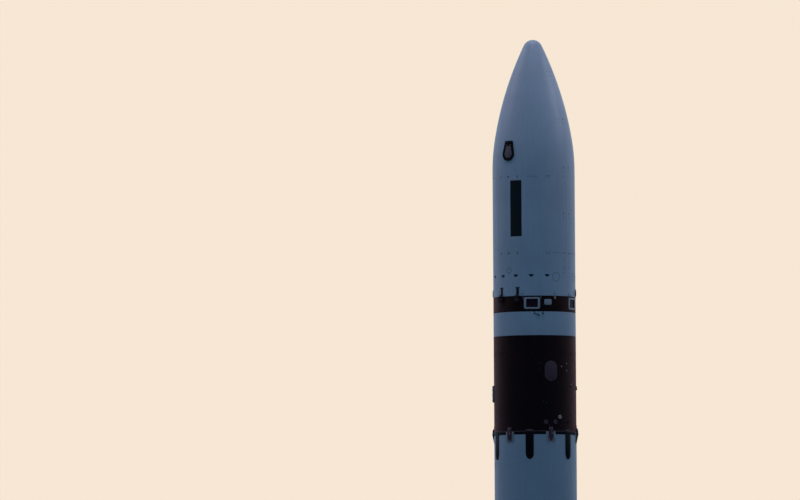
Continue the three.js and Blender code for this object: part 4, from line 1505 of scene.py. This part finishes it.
class ROCKET_OT_band(RocketOperator, Operator):
    """Make the separation band, its hinge seats, windows and blank plates"""

    bl_idname = "rocket.band"
    bl_label = "Separation band"

    window_azimuths = (34.5, 105, 214.5, 285)
    # Half width, base and top of a window's frame, of its line of screws, its opening and its pane
    frame_size, screw_line = (0.129, 8.433, 8.621), (0.1115, 8.4465, 8.6075)
    opening, pane = (0.094, 8.46, 8.594), (0.0935, 8.4605, 8.5935)
    # Azimuths of the blank plates and of the clips beside them
    plate_azimuth, clip_azimuth = 57.1, 67.7

    def execute(self, context):
        name, base, top = "separation_band_hoop", span("upper_ring")[1] + SEAM, BAND_TOP
        band = new_object(name, Shape().turned(hoop(0.6, BODY, base, top, 0.003), 144).data(name))
        pocket = Shape()
        for azimuth in self.window_azimuths:
            pocket.panel(rounded(*self.opening, 0.006, 3), azimuth, -0.014, 0.012)
        carve(band, pocket)
        settle(band, "black_composite", nodes=["separation_band"], sharp=30)
        self.add_seats()
        self.add_windows(top)
        return {"FINISHED"}

    def add_seats(self):
        """The fixed half of each hinge: a foot, two ears and the pin."""
        seats = Shape()
        line, pin, half_width, gap, ear = HINGE_LINE, 0.008, 0.022, 0.002, 0.016
        outer, front = half_width + gap + ear, -line - pin - 0.004
        for turn in (0, 180):
            for side in HINGE_SIDES:
                low, high = BAND_TOP - 0.091, BAND_TOP - 0.023
                seats.box((side - outer, front, low), (side + outer, -0.61, high), turn)
                for s in (-1, 1):
                    a, b = sorted((side + s * (half_width + gap), side + s * outer))
                    seats.box((a, front, BAND_TOP - 0.041), (b, -0.62, BAND_TOP), turn)
                    ends = [about(turn, (x, -line, BAND_TOP)) for x in (a, b)]
                    seats.rod(*ends, pin + 0.004, 24)
                ends = [about(turn, (side + s * (outer + 0.004), -line, BAND_TOP)) for s in (-1, 1)]
                seats.rod(*ends, pin, 24)
        place("hinge_seats", seats, "dark_metal", bevel=0.0015)

    def add_windows(self, top):
        """White frames round dark panes, and the plates, tabs and clips between them."""
        frames, panes, tabs, marks = Shape(), Shape(), Shape(), []
        for azimuth in self.window_azimuths:
            outline, opening = rounded(*self.frame_size, 0.03), rounded(*self.opening, 0.008, 3)
            frames.panel(outline, azimuth, SEAM, 0.004, holes=[opening], step=0.015)
            panes.panel(rounded(*self.pane, 0.006, 3), azimuth, -0.0138, -0.01, step=0.015)
            marks += along_outline(rounded(*self.screw_line, 0.018), azimuth, 0.0495, 0.004, 0.004)
            for s in (-1, 1):
                outline = [(s * 0.14 + x, z) for x, z in rounded(0.0095, 8.59, top - 0.003, 0.003, 2)]
                tabs.panel(outline, azimuth, SEAM, 0.007)
        nodes = [f"window_frame_{k}" for k in range(1, 5)]
        place("window_frames", frames, "frame_paint", nodes=nodes, bevel=0.0012)
        place("window_panes", panes, "dark_pane")
        place("window_tabs", tabs, "pad_grey", bevel=0.0008)
        fasten("window_screws", marks, "pad_grey")
        plates, clips, marks = Shape(), Shape(), []
        profile = [(SEAM, 8.592), (0.01, 8.594), (0.012, 8.612), (0.006, 8.632), (SEAM, 8.634)]
        for turn in (0, 180):
            azimuth, line = turn + self.plate_azimuth, rounded(0.0515, 8.508, 8.58, 0.014)
            plates.panel(rounded(0.0612, 8.498, 8.59, 0.022), azimuth, SEAM, 0.004)
            clips.slab([(BODY + lift, z) for lift, z in profile], turn + self.clip_azimuth, 0.0145)
            marks += along_outline(line, azimuth, 0.061, 0.0035, 0.004)
        place("blank_plates", plates, "frame_paint", bevel=0.0012)
        place("band_clips", clips, "cap_alloy", bevel=0.0015)
        fasten("blank_plate_screws", marks, "pad_grey")
        low, high = 8.402, 8.634
        marks = [
            (azimuth, z, 0.006, 0.0) for azimuth in range(3, 363, 6) for z in (low, high)
            if z == low or self.clear(azimuth)
        ]
        fasten("band_screws", marks, "satin_black")

    def clear(self, azimuth):
        """Whether a screw near the top of the band keeps off the hinges, clips and tabs."""
        hinges = (-14, 14, 166, 194, 346, 374)
        tabs = [middle + side for middle in self.window_azimuths for side in (-12.3, 12.3)]
        tabs += [self.clip_azimuth, self.clip_azimuth + 180]
        return all(abs(azimuth - a) > 5 for a in hinges) and all(abs(azimuth - a) > 2.5 for a in tabs)


class ROCKET_OT_upper_stage(RocketOperator, Operator):
    """Make what the fairing covers: deck, tank, pressure bottles and payload adapter"""

    bl_idname = "rocket.upper_stage"
    bl_label = "Upper stage"

    def execute(self, context):
        up = Vector((0, 0, 1))
        low, high = span("separation_deck")
        radius = 0.5992
        deck = [(0, low), (radius, low), (radius, high - 0.003), (radius - 0.003, high), (0, high)]
        section("deck_plate", deck, "bare_aluminium", nodes=["separation_deck"])
        points = [spot(0.575, 7.5 * k + 3.75, high) for k in range(48)]
        points += [spot(0.448, 10 * k, high) for k in range(36)]
        fasten_points("deck_bolts", points, up, [0.008] * 48 + [0.007] * 36, "steel")

        base, top = span("upper_stage_tank")
        wall, foot = 0.45, 0.425
        tank = [
            (0, base), (0.44, base), (0.44, base + 0.012), (foot, base + 0.014), (foot, 8.7),
            (wall, 8.725), (wall, 8.735), *weld_beads([9.05, 9.37, 9.69], wall), (wall, top - 0.06),
            (wall, top - 0.05), (wall - 0.004, top - 0.022), (wall - 0.02, top - 0.004), (wall - 0.04, top),
            (0, top),
        ]
        section("upper_tank_skin", tank, "bare_aluminium", nodes=["upper_stage_tank"], sides=120, sharp=35)
        low, high = span("payload_adapter")
        cone = [
            (0, low), (0.44, low), (0.44, low + 0.012), (0.428, low + 0.016), (0.302, high - 0.045),
            (0.298, high - 0.035), (0.3, high - 0.03), (0.3, high - 0.002), (0.298, high), (0.262, high),
            (0.258, high - 0.004), (0, high - 0.004),
        ]
        section("adapter_cone", cone, "satin_black", nodes=["payload_adapter"], sides=120, sharp=25)
        points = [spot(0.434, 12 * k, low + 0.012) for k in range(30)]
        points += [spot(0.281, 15 * k, high) for k in range(24)]
        fasten_points("adapter_bolts", points, up, 0.006, "steel")
        holes, hole_shades = Shape(), Shape()
        middle = (low + high) / 2 - 0.01
        for k in range(8):
            azimuth = 45 * k + 22.5
            at = spot(0.371, azimuth, middle)
            out = (spot(0.95, azimuth, 0) + Vector((0, 0, 0.35))).normalized()
            holes.sleeve(at - out * 0.012, at + out * 0.006, 0.058, 0.048, 28)
            # A dark disc in each hole: painted shade standing in for the dark inside of the hole
            hole_shades.rod(at - out * 0.012, at + out * 0.0015, 0.0478, 28)
        place("adapter_hole_rims", holes, "bare_aluminium", bevel=0.001)
        place("adapter_hole_screens", hole_shades, "rubber")
        self.add_bottles()
        return {"FINISHED"}

    def add_bottles(self):
        """Four wound bottles strapped to the tank."""
        base, top = span("pressure_bottle_1")
        radius, centre, steps = 0.0745, 0.5254, 8
        angles = [pi / 2 * k / steps for k in range(steps + 1)]
        outline = [(radius * sin(a), base + radius * (1 - cos(a))) for a in angles]
        outline += [(radius * cos(a), top - radius * (1 - sin(a))) for a in angles]
        turns, nodes = (30, 120, 210, 300), [f"pressure_bottle_{k}" for k in range(1, 5)]
        shape = Shape().turned(outline, 40, (0, -centre, 0))
        copies("bottle_shells", shape, turns, "bottle_wrap", nodes=nodes)

        def wrap(reach, start, step):
            angles = (radians(start + step * k) for k in range(11))
            return [(reach * sin(a), -centre - reach * cos(a)) for a in angles]

        ring = [(-0.046, -0.452), (-0.078, -0.5), *wrap(0.0772, -80, 16), (0.078, -0.5), (0.046, -0.452)]
        ring += [(0.04, -0.452), (0.0755, -0.505), *wrap(0.0752, 80, -16)]
        ring += [(-0.0755, -0.505), (-0.04, -0.452)]
        straps = Shape()
        for z in (base + 0.13, top - 0.13):
            straps.prism(ring, (z - 0.018, z + 0.018))
        for low, high, r in ((base - 0.004, base + 0.012, 0.016), (top - 0.01, top + 0.014, 0.014)):
            straps.rod((0, -centre, low), (0, -centre, high), r, 20)
        copies("bottle_straps", straps, turns, "bright_metal", bevel=0.0006)
        knots = [
            (-centre, 0.012), (-centre, 0.03), (-centre + 0.012, 0.042), (-0.48, 0.045), (-0.462, 0.036),
            (-0.458, 0),
        ]
        lines = [[about(turn, (0, y, top + rise)) for y, rise in knots] for turn in turns]
        pipes("bottle_pipes", lines, 0.005, "bright_metal")


class ROCKET_OT_fairing(RocketOperator, Operator):
    """Make the two fairing halves with their vents, liner, frames and fasteners"""

    bl_idname = "rocket.fairing"
    bl_label = "Fairing halves"

    vents = (-56.25, -33.75, -11.25, 11.25, 33.75, 56.25)
    vent_height = 8.97
    frame_heights = (9.334, 10.559)
    latch_heights = (9.058, 9.936, 10.676, 11.465)
    foot_plates = (-67, -21.6, 21.6, 67)
    # Round ports: azimuth, height, radius of the screw circle, screws
    ports = ((0, 9.057, 0.0435, 10), (-70.3, 8.95, 0.069, 12), (70.3, 8.95, 0.069, 12))
    # Thin seals over the frames: azimuth of the middle, height, half length
    seals = ((-36.2, 10.559, 0.098), (36.2, 10.559, 0.098), (-76.6, 9.334, 0.125), (76.6, 9.334, 0.125))

    def execute(self, context):
        for half, turn in (("a", 0), ("b", 180)):
            body = f"fairing_{half}"
            self.add_ports(half, turn, body)
            self.add_shell(half, turn, body)
            self.add_inside(half, turn, body)
            self.add_marks(half, turn, body)
            self.add_brackets(half, turn, body)
        self.add_seal()
        return {"FINISHED"}

    def add_seal(self):
        """A pale seal along the edge of half A, which fills the split from foot to tip."""
        base, seal = span("fairing_half_a")[0], Shape()
        outline = [*self.profile(-0.0012, base), *self.profile(-0.01, base)[::-1]]
        for azimuth in (90, 270):
            seal.slab(outline, azimuth, 0.0021)
        place("split_seal", seal, "fairing_paint", "fairing_a")

    @staticmethod
    def profile(offset, base):
        """The skin's outline from base to tip, moved by an offset."""
        points = [(BODY + offset, base), (BODY + offset, (base + TANGENT) / 2), (BODY + offset, TANGENT)]
        for (centre, level, radius, start, end), steps in zip(NOSE_ARCS, (6, 22, 12)):
            for k in range(1, steps + 1):
                angle = start + (end - start) * k / steps
                reach = radius + offset
                points.append((max(0.0, centre + reach * cos(angle)), level + reach * sin(angle)))
        points[-1] = (0.0, points[-1][1])
        return points

    @staticmethod
    def half_turned(shape, outline, turn, columns=72, gap=0.0025):
        """Half a turned wall whose edges lie flat along the split."""
        rings = []
        for k in range(columns + 1):
            ring = []
            for r, z in outline:
                reach = degrees(acos(gap / r)) if r > gap else 0.0
                point = spot(r, 2 * reach * k / columns - reach, z) if r > gap else Vector((0, -gap, z))
                ring.append(about(turn, point))
            rings.append(ring)
        count = len(outline)
        rows = shape.loft(rings, capped=False)
        for line in (rows[0], rows[-1]):
            for k in range(count // 2 - 1):
                shape.mesh.faces.new((line[k], line[k + 1], line[count - 2 - k], line[count - 1 - k]))

    def add_shell(self, half, turn, body):
        """One shell with its vent pockets and, on half A, the air inlet's hole."""
        base, wall, middle = span(f"fairing_half_{half}")[0], self.sizes.shell_wall, INLET_HEIGHT
        shape, name = Shape(), f"fairing_shell_{half}"
        self.half_turned(shape, [*self.profile(0.0, base), *self.profile(-wall, base)[::-1]], turn)
        shell, pocket = new_object(name, shape.data(name)), Shape()
        for azimuth in self.vents:
            pocket.panel(self.vent_outline(0.0), azimuth + turn, -0.01, 0.01, step=0.01)
        carve(shell, pocket)
        if half == "a":
            carve(shell, Shape().rod((0, -0.8, middle), (0, -0.4, middle), INLET_RADIUS, 64))
        marked = half == "a" and self.sizes.roll_mark
        look = "marked_fairing_paint" if marked else "fairing_paint"
        settle(shell, look, body, [f"fairing_half_{half}"], sharp=30)
        # Dark teal insets at the back of each vent pocket, with slats: painted shade inside the vents
        insets, slats = Shape(), Shape()
        for azimuth in self.vents:
            insets.panel(self.vent_outline(0.0008), azimuth + turn, -0.0098, -0.006, step=0.01)
            for rise, reach in ((0.012, 0.034), (0.0, 0.028), (-0.012, 0.022)):
                z = self.vent_height + rise
                slat = rounded(reach, z - 0.0022, z + 0.0022, 0.001, 2)
                slats.panel(slat, azimuth + turn, -0.0062, -0.0015, step=0.01)
        place(f"vent_insets_{half}", insets, "vent_teal", body)
        place(f"vent_slats_{half}", slats, "vent_teal", body)

    def vent_outline(self, inset):
        """A half moon with its flat side up."""
        top, reach, drop = self.vent_height + 0.0215 - inset, 0.04 - inset, 0.043 - 2 * inset
        angles = [radians(180 + 180 * k / 14) for k in range(15)]
        return [(reach * cos(a), top + drop * sin(a)) for a in angles]

    def add_inside(self, half, turn, body):
        """Padding in panels, ring frames, edge strips and the base ring inside a shell."""
        wall, base = self.sizes.shell_wall, span(f"fairing_half_{half}")[0]
        liner = Shape()
        for low, high in ((base + 0.06, 9.3), (9.368, 10.525), (10.593, 11.6), (11.62, 12.4)):
            steps = max(2, int((high - low) / 0.06))
            outer, inner = [], []
            for k in range(steps + 1):
                z = low + (high - low) * k / steps
                radius, tilt = skin_at(z)
                puff, lean = 0.01 if 0 < k < steps else 0.004, max(0.5, cos(tilt))
                outer.append((radius - (wall + 0.0006) / lean, z))
                inner.append((radius - (wall + puff) / lean, z))
            self.half_turned(liner, [*outer, *inner[::-1]], turn, 48, 0.03)
        place(f"fairing_liner_{half}", liner, "acoustic_liner", body, sharp=50)
        ribs = Shape()
        for z in (base + 0.025, *self.frame_heights):
            outer = skin_at(z)[0] - wall - 0.0006
            inner, low, high = outer - 0.028, z - 0.022, z + 0.022
            corners = [(outer, low), (outer, high), (inner, high), (inner, low)]
            self.half_turned(ribs, corners, turn, gap=0.01)
        for side in (-1, 1):
            for levels in ((8.72, 9.29), (9.38, 10.2), (10.22, 10.51), (10.61, 11.5)):
                rings = []
                for z in levels:
                    r = skin_at(z)[0] - wall - 0.002
                    corners = [(r, 0.006), (r, 0.034), (r - 0.01, 0.034), (r - 0.01, 0.006)]
                    rings.append([about(turn, (side * x, -y, z)) for x, y in corners])
                ribs.loft(rings)
        place(f"fairing_frames_{half}", ribs, "bare_aluminium", body, bevel=0.001)
        latches, points, outward = Shape(), [], []
        for side in (-1, 1):
            for z in self.latch_heights:
                r = skin_at(z)[0] - wall - 0.014
                low, high = sorted((side * r, side * (r - 0.026)))
                latches.box((low, -0.042, z - 0.028), (high, -0.006, z + 0.028), turn)
                points.append(about(turn, (side * (r - 0.026), -0.024, z)))
                outward.append(about(turn, (-side, 0, 0)))
        place(f"split_latches_{half}", latches, "dark_metal", body, bevel=0.002)
        fasten_points(f"split_latch_bolts_{half}", points, outward, 0.01, "bright_metal", body)

    def add_marks(self, half, turn, body):
        """Screws in rows, dashes and circles, as the frames and fittings behind ask."""
        size = self.sizes.screw
        medium, small, marks = size * 0.9, size * 0.8, []
        for height in self.frame_heights:
            for azimuth in (-14.5, 14.5):
                marks += [(azimuth, height + 0.013 * k, medium, 0.0) for k in (-1, 0, 1)]
            for side in (-1, 1):
                for step in (55.6, 58.4, 60.8):
                    marks += [(side * step, height + rise, medium, 0.0) for rise in (-0.012, 0.012)]
            marks += [(azimuth, height, size, 0.0) for azimuth in (-85, 85)]
        for azimuth, height, reach, count in self.ports:
            marks += wheel(azimuth, height, reach, count, small)
        for azimuth in (-84.6, 84.6):
            for height in (*self.latch_heights, 12.238):
                marks += [(azimuth, height + 0.034 + rise, medium, 0.0) for rise in (-0.008, 0.008)]
                marks.append((azimuth, height - 0.034, medium, 0.0))
            marks += [(azimuth, height, small, 0.0) for height in (9.132, 9.189, 9.228)]
        for azimuth in self.foot_plates:
            for step in (-0.9, 0.9):
                marks += [(azimuth + step, 8.7 + rise, medium, 0.002) for rise in (-0.02, 0.022)]
        marks = [(azimuth + turn, *rest) for azimuth, *rest in marks]
        fasten(f"fairing_screws_{half}", marks, "steel", body)
        plugs = [(turn, height, 0.012, 0.0) for height in self.frame_heights]
        fasten(f"fairing_plugs_{half}", plugs, "satin_black", body, "plug")
        level, strap_azimuth = span(f"fairing_half_{half}")[0] + 0.016, 14.0
        azimuths = [a for a in (-87.5 + 5 * k for k in range(36)) if abs(abs(a) - strap_azimuth) > 5]
        marks = [(azimuth + turn, level, size * 0.6, 0.0) for azimuth in azimuths]
        fasten(f"fairing_base_screws_{half}", marks, "fairing_paint", body)

    def add_ports(self, half, turn, body):
        """Gaskets under the screws of the round ports, and thin seals over the frames."""
        lines = Shape()
        for azimuth, height, reach, _ in self.ports:
            inner, outer = (disc(0, height, radius, 40) for radius in (reach - 0.001, reach + 0.001))
            lines.panel(outer, azimuth + turn, SEAM, 0.0008, holes=[inner], step=0.01)
        for azimuth, height, reach in self.seals:
            seal = rounded(reach, height - 0.0015, height + 0.0015, 0.001, 2)
            lines.panel(seal, azimuth + turn, SEAM, 0.0008)
        place(f"port_gaskets_{half}", lines, "satin_black", body)

    def add_brackets(self, half, turn, body):
        """A dark stop at the foot and a pale pad near the split."""
        stop_azimuth, pad_azimuth = turn + 302, turn + 277
        profile = [(SEAM, 8.65), (0.009, 8.654), (0.013, 8.68), (0.013, 8.74), (0.007, 8.77), (SEAM, 8.774)]
        stop = Shape().slab([(BODY + lift, z) for lift, z in profile], stop_azimuth, 0.016)
        stop.panel(rounded(0.028, 8.652, 8.78, 0.01), stop_azimuth, SEAM, 0.004)
        place(f"foot_stop_{half}", stop, "dark_metal", body, bevel=0.002)
        plates = Shape()
        for azimuth in self.foot_plates:
            plates.panel(rounded(0.021, 8.66, 8.742, 0.006, 3), azimuth + turn, SEAM, 0.002)
        place(f"foot_plates_{half}", plates, "fairing_paint", body, bevel=0.0006)
        pad = Shape().panel(rounded(0.036, 8.652, 8.72, 0.006, 3), pad_azimuth, SEAM, 0.005)
        place(f"foot_pad_{half}", pad, "fairing_paint", body, bevel=0.001)
        marks = along_outline(rounded(0.028, 8.66, 8.712, 0.003, 2), pad_azimuth, 0.026, 0.0035, 0.005)
        fasten(f"foot_pad_screws_{half}", marks, "steel", body)


class ROCKET_OT_hinges(RocketOperator, Operator):
    """Make the moving half of each fairing hinge"""

    bl_idname = "rocket.hinges"
    bl_label = "Fairing hinges"

    proud = 0.01
    # Ribs across a strap: rise over the pin, half height, half width
    ribs = (
        (0.137, 0.0095, 0.031), (0.117, 0.004, 0.022), (0.098, 0.007, 0.0235), (0.079, 0.004, 0.021),
        (0.06, 0.007, 0.0235), (0.041, 0.004, 0.021),
    )

    def execute(self, context):
        for letter, turn in (("a", 0), ("b", 180)):
            for number, middle in enumerate(HINGE_SIDES, 1):
                name, body = f"hinge_strap_{letter}_{number}", f"fairing_{letter}"
                node = f"fairing_hinge_{letter}_{number}"
                place(name, self.strap(turn, middle), "dark_metal", body, [node], bevel=0.0012)
                azimuth = turn + degrees(asin(middle / BODY))
                marks = [(azimuth, BAND_TOP + rise, 0.0062, self.proud) for rise in (0.137, 0.098, 0.06)]
                fasten(f"hinge_bolts_{letter}_{number}", marks, "steel", body, "hex")
        return {"FINISHED"}

    def strap(self, turn, middle):
        """A thin tongue up the skin with cross ribs, a web over the pin and its knuckle."""
        knuckle, bore, half = 0.014, 0.009, 0.022
        base, head_top = span("fairing_half_a")[0], BAND_TOP + 0.143
        tongue = [(middle + x, z) for x, z in rounded(0.018, base, head_top, 0.004, 3)]
        strap = Shape().panel(tongue, turn, SEAM, 0.006, step=0.01)
        for rise, half_height, reach in self.ribs:
            z = BAND_TOP + rise
            outline = [(middle + x, h) for x, h in rounded(reach, z - half_height, z + half_height, 0.003, 3)]
            strap.panel(outline, turn, SEAM, self.proud, step=0.01)
        outer, back, crown = HINGE_LINE + 0.007, BODY - 0.012, BAND_TOP + 0.028
        face = BODY + self.proud - 0.001
        web = [(outer, base), (outer, BAND_TOP + 0.016), (face, crown), (back, crown), (back, base)]
        strap.slab(web, turn, half, middle)
        ends = [about(turn, (middle + s * half, -HINGE_LINE, BAND_TOP)) for s in (-1, 1)]
        return strap.sleeve(*ends, knuckle, bore, 32)


class ROCKET_OT_inlet(RocketOperator, Operator):
    """Make the keyhole-shaped air inlet: its frame, and the flap that hangs in it"""

    bl_idname = "rocket.inlet"
    bl_label = "Air inlet"

    # Keyholes: height of the round's centre, its radius, height of the top, half width of the top
    rim = (INLET_HEIGHT, 0.11, 11.137, 0.07)
    rim_screws = (INLET_HEIGHT, 0.1, 11.126, 0.06)
    leaf = (10.932, 0.073, 11.056, 0.046)
    leaf_pad = (10.932, 0.06, 11.042, 0.036)
    leaf_screws = (10.932, 0.0665, 11.049, 0.041)

    @staticmethod
    def keyhole(middle, radius, top, top_half, grow=0.0, steps=26):
        """A round below and a narrower flat top, joined by straight sides."""
        r = radius + grow
        half, height = top_half + grow, top + grow - middle
        reach = hypot(half, height)
        tangent = degrees(atan2(height, half) - acos(r / reach))
        ends = [(half, middle + height), (-half, middle + height)]
        return [*ends, *arc((0, middle), r, 180 - tangent, 360 + tangent, steps)]

    def execute(self, context):
        grid, frame_body, flap_body = {"step": 0.012, "rise": 0.02}, "fairing_a", "flap"
        opening = self.with_slot(self.keyhole(*self.leaf, 0.005))
        rim = Shape().panel(self.keyhole(*self.rim), 0, SEAM, 0.018, holes=[opening], **grid)
        place("inlet_frame_rim", rim, "satin_black", frame_body, ["inlet_frame"], bevel=0.002)
        bore = disc(0, INLET_HEIGHT, INLET_RADIUS + 0.0005, 49)
        back = Shape().panel(opening, 0, 0.0001, 0.0012, holes=[bore], **grid)
        place("inlet_backing", back, "satin_black", frame_body)
        ends = [FLAP_PIN + Vector((x, 0, 0)) for x in (-0.062, 0.062)]
        place("inlet_pin", Shape().rod(*ends, 0.0035, 20), "dark_metal", frame_body)
        marks = along_outline(self.keyhole(*self.rim_screws), 0, 0.0495, 0.0042, 0.018)
        fasten("inlet_screws", marks, "dark_metal", frame_body)
        flap = Shape().panel(self.keyhole(*self.leaf), 0, 0.0055, 0.012, **grid)
        flap.panel(self.keyhole(*self.leaf_pad), 0, 0.0115, 0.0145, **grid)
        place("inlet_flap_plate", flap, "flap_grey", flap_body, ["inlet_flap"], bevel=0.001)
        knuckles = Shape()
        for x in (-0.034, 0.034):
            ends = [FLAP_PIN + Vector((x + s * 0.01, 0, 0)) for s in (-1, 1)]
            knuckles.sleeve(*ends, 0.007, 0.0043, 24)
            low, high = FLAP_PIN.y - 0.002, FLAP_PIN.y + 0.005
            knuckles.box((x - 0.01, low, 11.048), (x + 0.01, high, FLAP_PIN.z - 0.0055))
        place("inlet_knuckles", knuckles, "lip_bronze", flap_body, bevel=0.001)
        marks = along_outline(self.keyhole(*self.leaf_screws), 0, 0.0475, 0.0035, 0.012)
        fasten("inlet_flap_screws", marks, "steel", flap_body)
        return {"FINISHED"}

    @staticmethod
    def with_slot(opening):
        """The opening's outline with the slot for the knuckles added at its top."""
        half, base, top = 0.058, 11.046, 11.09
        lower = [point for point in opening[2:] if point[1] < base]
        return [(half, base), (half, top), (-half, top), (-half, base), *lower]


class ROCKET_PT_panel(Panel):
    """Lists the rocket's steps and settings"""

    bl_label = "Launch Rocket"
    bl_idname = "ROCKET_PT_panel"
    bl_space_type = "VIEW_3D"
    bl_region_type = "UI"
    bl_category = "Rocket"

    def draw(self, context):
        for step in STEPS:
            self.layout.operator(step.bl_idname)
        for group in (context.scene.rocket_sizes, context.scene.rocket_colours, context.scene.rocket_stage):
            box = self.layout.box()
            for name in group.bl_rna.properties.keys():
                if name not in ("rna_type", "name"):
                    box.prop(group, name)


STEPS = (
    ROCKET_OT_stage,
    ROCKET_OT_body,
    ROCKET_OT_aft,
    ROCKET_OT_engines,
    ROCKET_OT_raceways,
    ROCKET_OT_umbilicals,
    ROCKET_OT_stage_joint,
    ROCKET_OT_interstage,
    ROCKET_OT_band,
    ROCKET_OT_upper_stage,
    ROCKET_OT_fairing,
    ROCKET_OT_hinges,
    ROCKET_OT_inlet,
)
SETTINGS = {"rocket_colours": RocketColours, "rocket_sizes": RocketSizes, "rocket_stage": StageSettings}


def register():
    for kind in (*SETTINGS.values(), *STEPS, ROCKET_PT_panel):
        bpy.utils.register_class(kind)
    for name, kind in SETTINGS.items():
        setattr(Scene, name, PointerProperty(type=kind))


def unregister():
    for name in SETTINGS:
        delattr(Scene, name)
    for kind in reversed((*SETTINGS.values(), *STEPS, ROCKET_PT_panel)):
        bpy.utils.unregister_class(kind)


def main():
    register()
    for step in STEPS:
        group, name = step.bl_idname.split(".")
        getattr(getattr(bpy.ops, group), name)()


if __name__ == "__main__":
    main()
